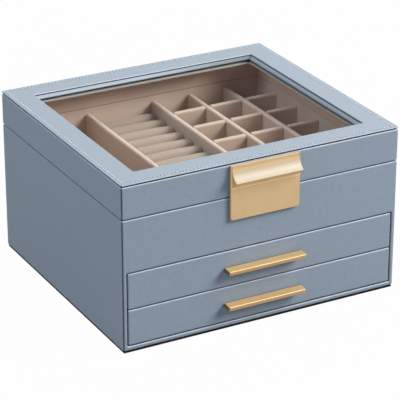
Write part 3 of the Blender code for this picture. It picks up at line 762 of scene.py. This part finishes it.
def bead_rings():
    """The groove under the window's rim and the padded bead that slopes in to the glass."""
    corner = 0.4 * MM
    rings = [
        frame_ring(RAIL, GROOVE_TOP, corner),
        frame_ring(RAIL - GROOVE_DEPTH, GROOVE_TOP - 0.1 * MM, corner),
        frame_ring(RAIL - GROOVE_DEPTH, GROOVE_LOW + 0.05 * MM, corner),
        frame_ring(RAIL, GROOVE_LOW, corner),
    ]
    for k in range(1, 11):
        share = k / 10
        swell = BEAD_SWELL * math.sin(math.pi * share) / math.sqrt(2)
        z = GROOVE_LOW + (BEAD_LOW - GROOVE_LOW) * share
        rings.append(frame_ring(RAIL + BEAD * share + swell * (1 - share), z + swell, corner))
    return rings


def make_top_frame():
    """The covered frame round the window, with a sewn crease along its outer edge."""
    top = LID_HIGH.z
    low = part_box("lid_top_frame")[0].z
    rim_low = top - FRAME_RIM
    step = WALL + GAP
    rings = [frame_ring(step, low, FRAME_LOW_R), frame_ring(step, rim_low, FRAME_LOW_R)]
    rings += [frame_ring(inset, rim_low + depth) for inset, depth in quarter_round(FRAME_LOW_R)]
    rings += [frame_ring(inset, top - depth) for inset, depth in reversed(quarter_round(FRAME_EDGE_R))]
    for k in range(-4, 5):
        offset = CREASE_HALF * k / 4
        sink = CREASE_DEPTH * math.cos(math.pi / 2 * k / 4) ** 2
        rings.append(frame_ring(STITCH_INSET + offset, top - sink, 0.8 * MM))
    for inset, depth in quarter_round(INNER_RIM_R):
        rings.append(frame_ring(RAIL - inset, top - depth, 0.4 * MM + inset))
    rings += bead_rings()
    rings.append(frame_ring(SIGHT_INSET, low, 0.4 * MM))
    piece("lid_top_cover", loft(rings, closed=True), "leatherette", LID, ["lid_top_frame"])


def add_disc(mesh_data, centre, radius, height):
    """A flat-topped button with its face at the given height over centre."""
    around = 8
    rings = []
    for share, z in ((1.0, -height), (0.9, height), (0.0, height)):
        ring = []
        for j in range(around):
            turn = 2 * math.pi * j / around
            offset = Vector((math.cos(turn), math.sin(turn), 0)) * radius * max(share, 0.01)
            ring.append(mesh_data.verts.new(centre + offset + Vector((0, 0, z))))
        rings.append(ring)
    for low, high in zip(rings, rings[1:]):
        for j in range(around):
            following = (j + 1) % around
            mesh_data.faces.new((low[j], low[following], high[following], high[j]))
    mesh_data.faces.new(rings[0])
    mesh_data.faces.new(rings[-1])


def stitch(mesh_data, middle, along, lean):
    """One stitch: a short thread that rises out of the crease and dives back into it."""
    across = Vector((-along.y, along.x, 0))
    around = 6
    rings = []
    for k in range(7):
        share = k / 6 * 2 - 1
        thick = STITCH_R * math.sqrt(max(0.04, 1 - share * share))
        rise = 0.5 * STITCH_R * (1 - share * share) - 0.35 * STITCH_R
        core = middle + along * (share * STITCH_LENGTH / 2) + across * (lean * share) + Vector((0, 0, rise))
        ring = []
        for j in range(around):
            turn = 2 * math.pi * j / around
            ring.append(core + across * (thick * math.cos(turn)) + Vector((0, 0, thick * math.sin(turn))))
        rings.append([mesh_data.verts.new(point) for point in ring])
    for low, high in zip(rings, rings[1:]):
        for j in range(around):
            following = (j + 1) % around
            mesh_data.faces.new((low[j], low[following], high[following], high[j]))
    mesh_data.faces.new(rings[0])
    mesh_data.faces.new(rings[-1])


def make_stitching():
    """A line of slanted stitches in the crease of the top frame, all the way round, with dark discs of painted shade
    for their needle holes.
    """
    hand = random.Random(7)
    mesh_data = bmesh.new()
    holes = bmesh.new()
    height = LID_HIGH.z - CREASE_DEPTH
    half_x = HALF_W - STITCH_INSET
    half_y = HALF_D - STITCH_INSET
    for outward in SIDES.values():
        along = Vector((-outward.y, outward.x, 0))
        reach, length = (half_x, half_y) if abs(outward.x) > 0.5 else (half_y, half_x)
        count = round(2 * length / STITCH_PITCH)
        for k in range(count):
            place = -length + (k + 0.5) * 2 * length / count
            middle = outward * reach + along * place + Vector((0, 0, height))
            lean = hand.uniform(-0.06, 0.06) * MM - STITCH_LEAN
            stitch(mesh_data, middle, along, lean)
            across = Vector((-along.y, along.x, 0))
            for end in (-1, 1):
                mouth = middle + (along * (STITCH_LENGTH / 2) + across * lean) * end
                add_disc(holes, mouth, HOLE_R, 0.03 * MM)
    piece("lid_stitching", mesh_data, "thread", LID)
    # painted shade: dark discs at the needle holes
    piece("lid_needle_holes", holes, "hole", LID)


def make_lid():
    wall_low, wall_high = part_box("lid_left_wall")
    for side, outward in SIDES.items():
        walls = covered_wall(outward, wall_low.z, wall_high.z, LID_EDGE_R)
        piece(f"lid_{side}_cover", walls, "leatherette", LID, [f"lid_{side}_wall"])
    make_top_frame()
    make_stitching()
    make_lid_lining()


def make_lid_lining():
    """Velvet card inside the lid walls, turned in under the glass."""
    low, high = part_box("lid_lining")
    half_x, half_y = high.x, high.y
    flange = FLANGE_T
    soft = 0.35 * MM
    inner_x, inner_y = half_x - LINING_T, half_y - LINING_T
    sight_x = HALF_W - SIGHT_INSET - LEDGE_SHOW
    sight_y = HALF_D - SIGHT_INSET - LEDGE_SHOW
    rings = []
    for inset, depth in quarter_round(soft):
        rings.append(rounded_rectangle(inner_x + inset, inner_y + inset, 0.4 * MM + inset, low.z + depth))
    rings = [rounded_rectangle(half_x, half_y, 0.5 * MM, low.z)] + rings
    rings.append(rounded_rectangle(inner_x, inner_y, 0.4 * MM, high.z - flange))
    for inset, depth in quarter_round(soft):
        rings.append(rounded_rectangle(sight_x + inset, sight_y + inset, 0.4 * MM + inset, high.z - flange + depth))
    for inset, depth in reversed(quarter_round(soft)):
        rings.append(rounded_rectangle(sight_x + inset, sight_y + inset, 0.4 * MM + inset, high.z - depth))
    rings.append(rounded_rectangle(half_x, half_y, 0.5 * MM, high.z))
    piece("lid_velvet_lining", loft(rings, closed=True), "lid_velvet", LID, ["lid_lining"])


# Tray

def make_tray_lining():
    """Velvet card on the tray's floor and walls, with a soft rim."""
    low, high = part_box("tray_lining")
    high = high + Vector((0, 0, 0.25 * MM))
    floor_t = 1.2 * MM
    half_x, half_y = high.x, high.y
    inner_x, inner_y = half_x - LINING_T, half_y - LINING_T
    soft = 0.3 * MM
    rings = [rounded_rectangle(half_x, half_y, 0.6 * MM, low.z)]
    for inset, depth in reversed(quarter_round(soft)):
        rings.append(rounded_rectangle(half_x - inset, half_y - inset, 0.6 * MM - inset, high.z - depth))
    for inset, depth in quarter_round(soft):
        rings.append(rounded_rectangle(inner_x + inset, inner_y + inset, 0.5 * MM + inset, high.z - depth))
    rings.append(rounded_rectangle(inner_x, inner_y, 0.5 * MM, low.z + floor_t + soft))
    for inset, depth in reversed(quarter_round(soft)):
        rings.append(rounded_rectangle(inner_x - inset, inner_y - inset, 0.5 * MM, low.z + floor_t + depth))
    piece("tray_velvet_lining", loft(rings), "velvet", CASE, ["tray_lining"])


def divider_section(low, high, thick):
    """Across a divider: flat sides under a full, soft top. Pairs of offset across and height."""
    half = thick / 2
    points = [(-half + 0.2 * MM, low), (half - 0.2 * MM, low), (half, low + 0.2 * MM)]
    for k in range(CORNER_STEPS * 2 + 1):
        angle = math.pi * k / (CORNER_STEPS * 2)
        across = half * math.copysign(abs(math.cos(angle)) ** 0.8, math.cos(angle))
        points.append((across, high - DIVIDER_ROUND + DIVIDER_ROUND * math.sin(angle) ** 0.9))
    points.append((-half, low + 0.2 * MM))
    return points


def divider(node, slots=(), slot_side="low"):
    """A velvet-covered board in the place of a CAD divider, with half-height slots where others cross it."""
    low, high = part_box(node)
    size = high - low
    along = 0 if size.x > size.y else 1
    across = 1 - along
    centre = (low[across] + high[across]) / 2
    thick = size[across]
    middle = (low.z + high.z) / 2
    lead = 0.25 * MM
    half_slot = thick / 2 + GAP
    stations = [(low[along], low.z, high.z)]
    for place in sorted(slots):
        notch = (middle + GAP / 2, high.z) if slot_side == "low" else (low.z, middle - GAP / 2)
        stations.append((place - half_slot - lead, low.z, high.z))
        stations.append((place - half_slot, *notch))
        stations.append((place + half_slot, *notch))
        stations.append((place + half_slot + lead, low.z, high.z))
    stations.append((high[along], low.z, high.z))
    rings = []
    for place, bottom, top in stations:
        ring = []
        for offset, z in divider_section(bottom, top, thick):
            point = [0, 0, z]
            point[along] = place
            point[across] = centre + offset
            ring.append(tuple(point))
        rings.append(ring)
    return loft(rings)


def middle_of(node, axis):
    low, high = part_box(node)
    return (low[axis] + high[axis]) / 2


def make_dividers():
    for side in ("left", "middle"):
        node = f"tray_divider_{side}"
        piece(f"{node}_velvet", divider(node), "edging", CASE, [node])
    long_nodes = [f"grid_divider_long_{k}" for k in range(1, GRID_COLUMNS)]
    cross_nodes = sorted(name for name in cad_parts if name.startswith("grid_divider_cross"))
    rows = [middle_of(node, 1) for node in cross_nodes]
    columns = [middle_of(node, 0) for node in long_nodes]
    for node in long_nodes:
        piece(f"{node}_velvet", divider(node, rows, "low"), "edging", CASE, [node])
    for node in cross_nodes:
        piece(f"{node}_velvet", divider(node, columns, "high"), "cross_edging", CASE, [node])


def roll_section(half, low, high, pull):
    """Across a ring roll: a low flat base, sides drawn in a little, and a broad round top."""
    points = []
    steps = 28
    height = high - low
    for k in range(steps + 1):
        angle = math.pi * k / steps
        across = half * math.copysign(abs(math.cos(angle)) ** 0.62, math.cos(angle))
        up = abs(math.sin(angle)) ** 0.85
        waist = 1 - pull * math.sin(math.pi * min(1.0, up * 1.05)) * 0.5
        points.append((across * waist, low + 0.6 * MM + (height - 0.6 * MM) * up))
    points.append((-half * 0.93, low))
    points.append((half * 0.93, low))
    return points


def make_ring_rolls():
    """Foam rolls under velvet, each crowned along its length and pulled in at its ends."""
    hand = random.Random(3)
    for number in range(1, ROLLS + 1):
        node = f"ring_roll_{number:02d}"
        low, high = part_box(node)
        middle = (low + high) / 2
        half = (high - low) / 2
        stations = 30
        shade = hand.uniform(0.0, 100.0)
        rings = []
        for k in range(stations + 1):
            share = -math.cos(math.pi * k / stations)
            swell = math.sqrt(max(0.0, 1 - abs(share) ** ROLL_BLUNT))
            top = high.z - (1 - swell) * ROLL_END_DROP - ROLL_CROWN * share * share
            width = half.y * (0.88 + 0.12 * swell)
            x = middle.x + half.x * share
            ring = []
            for across, z in roll_section(width, low.z, top, 0.05):
                ripple = noise.noise(Vector((x * 90 + shade, across * 160, z * 120)))
                sink = 0.22 * MM * (ripple - 0.6)
                ring.append((x, middle.y + across, z + sink * (z - low.z) / (high.z - low.z)))
            rings.append(ring)
        roll = piece(f"{node}_cushion", loft(rings), "cushion", CASE, [node], smooth=60)
        roll.modifiers.clear()


# Gold fittings

def lip_curve(face):
    """The lip's hollow top, from the tip up to the clasp's face, which it leaves almost upright."""
    tip_top = LIP_TIP_LOW + LIP_TIP_T
    points = []
    for k in range(LIP_STEPS + 1):
        share = 1 - k / LIP_STEPS
        points.append((face - LIP_REACH * share ** LIP_HOLLOW, LIP_TOP - (LIP_TOP - tip_top) * share))
    return points


def runs_along(edge, axis):
    run = edge.verts[1].co - edge.verts[0].co
    others = sum(abs(run[k]) for k in range(3) if k != axis)
    return abs(run[axis]) > others


def make_clasp():
    """A satin gold plate over the seam, with a hollow lip for the fingers."""
    low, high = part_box("clasp_plate")
    back = high.y
    face = back - CLASP_T
    root = (back + face) / 2
    plate = bmesh.new()
    bmesh.ops.create_cube(plate, size=1.0)
    size = Matrix.Diagonal((2 * high.x, CLASP_T, high.z - low.z, 1.0))
    place = Matrix.Translation((0, root, (low.z + high.z) / 2))
    bmesh.ops.transform(plate, matrix=place @ size, verts=plate.verts)
    feet = [e for e in plate.edges if all(v.co.z < low.z + GAP for v in e.verts) and runs_along(e, 1)]
    bmesh.ops.bevel(plate, geom=feet, offset=CLASP_CORNER_R, segments=10, profile=0.5, affect="EDGES")
    near = [e for e in plate.edges if all(v.co.y < face + GAP for v in e.verts)]
    rim = [e for e in near if any(v.co.z < high.z - GAP for v in e.verts)]
    bmesh.ops.bevel(plate, geom=rim, offset=CLASP_RIM_R, segments=4, profile=0.5, affect="EDGES")
    obj = to_object("clasp_gold_plate", plate, "gold")
    outline = [(root, LIP_LOW), (face, LIP_LOW), (face - LIP_REACH, LIP_TIP_LOW)]
    outline += lip_curve(face) + [(root, LIP_TOP)]
    combine(obj, loft([[(x, y, z) for y, z in outline] for x in (-LIP_HALF, LIP_HALF)]), "UNION")
    soften(obj, CLASP_EDGE_R, 3)
    smooth_again(obj, 30)
    dress(obj, LID, ["clasp_plate"])


def soften(obj, width, segments, degrees=40):
    change = obj.modifiers.new("soft edges", "BEVEL")
    change.width = width
    change.segments = segments
    change.limit_method = "ANGLE"
    change.angle_limit = math.radians(degrees)
    change.harden_normals = False


def make_handle(side, body):
    """A flat bar across the drawer front, and its two pegs."""
    low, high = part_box(f"{side}_drawer_handle")
    wall = -HALF_D - GAP
    outline = [(wall, high.z), (wall, low.z), (low.y, low.z), (low.y, high.z - HANDLE_FALL)]
    bar = loft([[(x, y, z) for y, z in outline] for x in (low.x, high.x)])
    corners = [e for e in bar.edges if all(v.co.y < low.y + GAP for v in e.verts) and runs_along(e, 2)]
    bmesh.ops.bevel(bar, geom=corners, offset=HANDLE_CORNER_R, segments=5, profile=0.5, affect="EDGES")
    obj = to_object(f"{side}_handle_gold", bar, "gold")
    soften(obj, HANDLE_EDGE_R, 4)
    for x in (-PEG_X, PEG_X):
        root = (x, wall - 1 * MM, high.z - PEG_DROP)
        length = high.y - wall + 1 * MM
        combine(obj, turned([(PEG_R, 0), (PEG_R, length)], root, (0, 1, 0)), "UNION")
    smooth_again(obj, 50)
    dress(obj, body, [f"{side}_drawer_handle"])


def make_drawer(side):
    body = f"{side}_drawer"
    low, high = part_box(f"{side}_drawer_front")
    face = rounded_block(high.x, (high.z - low.z) / 2, 0, FRONT_T, FRONT_CORNER_R, GAP, FRONT_EDGE_R)
    turn = Matrix.Rotation(math.radians(90), 4, "X")
    place = Matrix.Translation((0, -HALF_D + FRONT_T, (low.z + high.z) / 2)) @ turn
    bmesh.ops.transform(face, matrix=place, verts=face.verts)
    cover = to_object(f"{side}_front_cover", face, "leatherette")
    handle_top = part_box(f"{side}_drawer_handle")[1].z
    for x in (-PEG_X, PEG_X):
        mouth = (x, -HALF_D - 1 * MM, handle_top - PEG_DROP)
        bore = turned([(PEG_R + GAP, 0), (PEG_R + GAP, FRONT_T + 2 * MM)], mouth, (0, 1, 0))
        combine(cover, bore)
    smooth_again(cover)
    dress(cover, body, [f"{side}_drawer_front"])
    make_handle(side, body)
    make_drawer_linings(side, body)


def make_drawer_linings(side, body):
    """Velvet strips inside the drawer's walls."""
    left_low, left_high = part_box(f"{side}_drawer_left_side")
    lining_low, lining_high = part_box(f"{side}_drawer_lining")
    clear = 0.05 * MM
    base = lining_high.z + clear
    top = left_high.z - 0.6 * MM
    inner = -left_high.x
    start, end = lining_low.y + 0.2 * MM, lining_high.y - 0.2 * MM
    for sign, name in ((-1, "left"), (1, "right")):
        near, far = sorted((sign * (inner - clear), sign * (inner - clear - SIDE_LINING_T)))
        strip = soft_box((near, start + 1 * MM, base), (far, end - 1 * MM, top), 0.2 * MM)
        piece(f"{side}_{name}_wall_lining", strip, "velvet", body)
    width = inner - clear * 2 - SIDE_LINING_T * 1.4
    for name, near in (("front", start), ("back", end - SIDE_LINING_T)):
        strip = soft_box((-width, near, base), (width, near + SIDE_LINING_T, top), 0.2 * MM)
        piece(f"{side}_{name}_wall_lining", strip, "velvet", body)


# Hinges

def leaf_plate(x, up):
    """A hinge leaf's plate with round outer corners."""
    low_y = HALF_D + GAP
    near = up * (KNUCKLE_R + GAP)
    far = up * LEAF_H
    half = LEAF_W / 2
    outline = [(-half, near), (half, near)]
    for sign, start in ((1, 0), (-1, 90)):
        for k in range(CORNER_STEPS + 1):
            angle = math.radians(start + 90 * k / CORNER_STEPS)
            u = sign * (half - LEAF_CORNER_R) + LEAF_CORNER_R * math.cos(angle)
            v = far - up * LEAF_CORNER_R + up * LEAF_CORNER_R * math.sin(angle)
            outline.append((u, v))
    rings = [[(x + u, y, HINGE_Z + v) for u, v in outline] for y in (low_y, low_y + LEAF_T)]
    return loft(rings)


def make_leaf(name, node, x, up, knuckles, body):
    """A leaf of a small butt hinge with its knuckles, bored for the pin."""
    low_y = HALF_D + GAP
    obj = to_object(name, leaf_plate(x, up), "gold")
    near = HINGE_Z + up * (KNUCKLE_R + 2 * GAP)
    for start, end in knuckles:
        tab = soft_box((x + start, low_y, min(HINGE_Z, near)), (x + end, low_y + LEAF_T, max(HINGE_Z, near)), 0.02 * MM)
        combine(obj, tab, "UNION")
        rim = 0.25 * MM
        profile = [(KNUCKLE_R - rim, 0), (KNUCKLE_R, rim), (KNUCKLE_R, end - start - rim), (KNUCKLE_R - rim, end - start)]
        combine(obj, turned(profile, (x + start, HINGE_Y, HINGE_Z), (1, 0, 0)), "UNION")
    bore = [(KNUCKLE_BORE_R, 0), (KNUCKLE_BORE_R, LEAF_W + 2 * MM)]
    combine(obj, turned(bore, (x - LEAF_W / 2 - 1 * MM, HINGE_Y, HINGE_Z), (1, 0, 0)))
    smooth_again(obj)
    dress(obj, body, [node])


def make_screws(name, x, up, body):
    """Two small domed screws with a cross recess on one leaf."""
    mesh_data = bmesh.new()
    face = HALF_D + GAP + LEAF_T
    for sign in (-1, 1):
        place = (x + sign * SCREW_SPREAD, face - 0.1 * MM, HINGE_Z + up * SCREW_RISE)
        profile = [(SCREW_R, 0), (SCREW_R, 0.12 * MM)]
        for k in range(1, 7):
            angle = math.radians(90 * k / 7)
            profile.append((SCREW_R * math.cos(angle), 0.12 * MM + SCREW_PROUD * math.sin(angle)))
        head = turned(profile, place, (0, 1, 0))
        kept = bpy.data.meshes.new("screw head")
        head.to_mesh(kept)
        head.free()
        mesh_data.from_mesh(kept)
        bpy.data.meshes.remove(kept)
    obj = to_object(name, mesh_data, "steel")
    for sign in (-1, 1):
        centre = Vector((x + sign * SCREW_SPREAD, face + 0.25 * MM, HINGE_Z + up * SCREW_RISE))
        for wide, tall in ((0.85 * MM, 0.17 * MM), (0.17 * MM, 0.85 * MM)):
            slot_half = Vector((wide, 0.18 * MM, tall))
            combine(obj, soft_box(centre - slot_half, centre + slot_half, 0.03 * MM))
    smooth_again(obj)
    dress(obj, body)


def make_hinges():
    half = LEAF_W / 2
    middle = KNUCKLE_W / 2
    length = LEAF_W + 2 * GAP + 2 * PIN_HEAD_T
    rim = 0.2 * MM
    profile = [(PIN_HEAD_R - rim, 0), (PIN_HEAD_R, rim), (PIN_HEAD_R, PIN_HEAD_T), (PIN_R, PIN_HEAD_T)]
    profile += [(radius, length - height) for radius, height in reversed(profile)]
    for side, x in (("left", -HINGE_X), ("right", HINGE_X)):
        case_node = f"hinge_case_leaf_{side}"
        lid_node = f"hinge_lid_leaf_{side}"
        make_leaf(f"{side}_case_hinge_leaf", case_node, x, -1, ((-half, -middle), (middle, half)), CASE)
        make_leaf(f"{side}_lid_hinge_leaf", lid_node, x, 1, ((GAP - middle, middle - GAP),), LID)
        pin = turned(profile, (x - length / 2, HINGE_Y, HINGE_Z), (1, 0, 0))
        piece(f"{side}_hinge_pin_steel", pin, "steel", CASE, [f"hinge_pin_{side}"])
        make_screws(f"{side}_case_hinge_screws", x, -1, CASE)
        make_screws(f"{side}_lid_hinge_screws", x, 1, LID)


# Carried-over nodes

def dress_frame_nodes():
    """Gives each CAD node a finish chosen from its name: felt, steel, glass or velvet where the name says so, covered
    board for the rest.
    """
    finishes = {"base_pad": "felt", "clasp_magnet": "steel", "glass_pane": "glass", "drawer_lining": "velvet"}
    for name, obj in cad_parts.items():
        look = "board"
        for part, finish in finishes.items():
            if part in name:
                look = finish
        obj.data.materials.clear()
        obj.data.materials.append(LOOKS[look])


# Stage, lights and camera

def make_floor():
    """A pale floor, white to the camera except where the object's shadow falls."""
    mesh_data = bmesh.new()
    size = 3.0
    corners = [mesh_data.verts.new((x * size, y * size, 0)) for x, y in ((-1, -1), (1, -1), (1, 1), (-1, 1))]
    mesh_data.faces.new(corners)
    mesh = bpy.data.meshes.new("floor")
    mesh_data.to_mesh(mesh)
    mesh_data.free()
    floor = bpy.data.objects.new("floor", mesh)
    bpy.context.scene.collection.objects.link(floor)
    made = Finish("pale_floor")
    made.set("Base Color", colour(0.24, 0.25, 0.27))
    made.set("Roughness", 0.9)
    path = made.node("LightPath").outputs
    seen = made.math("MAXIMUM", path["Is Camera Ray"], path["Is Glossy Ray"])
    seen = made.math("MAXIMUM", seen, path["Is Transmission Ray"])
    white = made.node("Emission", {"Color": colour(1, 1, 1), "Strength": 1.0})
    share = made.math("MULTIPLY", seen, 0.985)
    mixed = made.node("MixShader", {"Fac": share})
    made.tree.links.new(made.shader.outputs[0], mixed.inputs[1])
    made.tree.links.new(white.outputs[0], mixed.inputs[2])
    made.tree.links.new(mixed.outputs[0], made.tree.nodes["Material Output"].inputs["Surface"])
    mesh.materials.append(made.material)


def make_world():
    """Soft grey daylight on the object, white behind it."""
    world = bpy.data.worlds.new("studio")
    world.use_nodes = True
    tree = world.node_tree
    bpy.context.scene.world = world
    back = tree.nodes["Background"]
    back.inputs["Color"].default_value = colour(0.71, 0.83, 1.0)
    back.inputs["Strength"].default_value = 0.17
    white = tree.nodes.new("ShaderNodeBackground")
    white.inputs["Color"].default_value = colour(1, 1, 1)
    white.inputs["Strength"].default_value = 1.0
    path = tree.nodes.new("ShaderNodeLightPath")
    either = tree.nodes.new("ShaderNodeMath")
    either.operation = "MAXIMUM"
    tree.links.new(path.outputs["Is Camera Ray"], either.inputs[0])
    tree.links.new(path.outputs["Is Glossy Ray"], either.inputs[1])
    any_seen = tree.nodes.new("ShaderNodeMath")
    any_seen.operation = "MAXIMUM"
    tree.links.new(either.outputs[0], any_seen.inputs[0])
    tree.links.new(path.outputs["Is Transmission Ray"], any_seen.inputs[1])
    mixed = tree.nodes.new("ShaderNodeMixShader")
    tree.links.new(any_seen.outputs[0], mixed.inputs[0])
    tree.links.new(back.outputs[0], mixed.inputs[1])
    tree.links.new(white.outputs[0], mixed.inputs[2])
    tree.links.new(mixed.outputs[0], tree.nodes["World Output"].inputs["Surface"])


def soft_light(name, azimuth, elevation, distance, size, power, tint=(1, 1, 1)):
    """A square area light that looks at the object. Azimuth 0 is at the front, turning to the right."""
    lamp = bpy.data.lights.new(name, "AREA")
    lamp.shape = "SQUARE"
    lamp.size = size
    lamp.energy = power
    lamp.color = tint
    obj = bpy.data.objects.new(name, lamp)
    bpy.context.scene.collection.objects.link(obj)
    a, e = math.radians(azimuth), math.radians(elevation)
    away = Vector((math.sin(a) * math.cos(e), -math.cos(a) * math.cos(e), math.sin(e)))
    obj.location = AIM + away * distance
    obj.rotation_euler = away.to_track_quat("Z", "Y").to_euler()


def make_lights():
    soft_light("key", 54, 35.5, 3.0, 1.45, 108, (1.0, 0.965, 0.92))
    soft_light("back", 132, 50, 3.0, 1.4, 22, (1.0, 0.95, 0.86))
    soft_light("overhead", -140, 70, 1.6, 0.9, 6, (1.0, 0.97, 0.92))
    soft_light("left", -78, 40, 2.0, 1.1, 10.8, (0.78, 0.89, 1.0))


def make_camera():
    lens = bpy.data.cameras.new("camera")
    lens.lens = LENS
    lens.sensor_width = SENSOR
    lens.clip_end = 20
    sin_a, cos_a = math.sin(AZIMUTH), math.cos(AZIMUTH)
    sin_e, cos_e = math.sin(ELEVATION), math.cos(ELEVATION)
    right = Vector((cos_a, sin_a, 0))
    up = Vector((-sin_a * sin_e, cos_a * sin_e, cos_e))
    back = Vector((sin_a * cos_e, -cos_a * cos_e, sin_e))
    camera = bpy.data.objects.new("camera", lens)
    bpy.context.scene.collection.objects.link(camera)
    place = AIM + right * AIM_RIGHT + up * AIM_UP + back * DISTANCE
    turn = Matrix((right, up, back)).transposed().to_4x4()
    camera.matrix_world = Matrix.Translation(place) @ turn
    bpy.context.scene.camera = camera


def build():
    dress_frame_nodes()
    make_case()
    make_lid()
    make_tray_lining()
    make_dividers()
    make_ring_rolls()
    make_clasp()
    for side in DRAWERS:
        make_drawer(side)
    make_hinges()
    make_floor()
    make_world()
    make_lights()
    make_camera()
    bpy.context.scene.view_settings.view_transform = "Standard"


build()
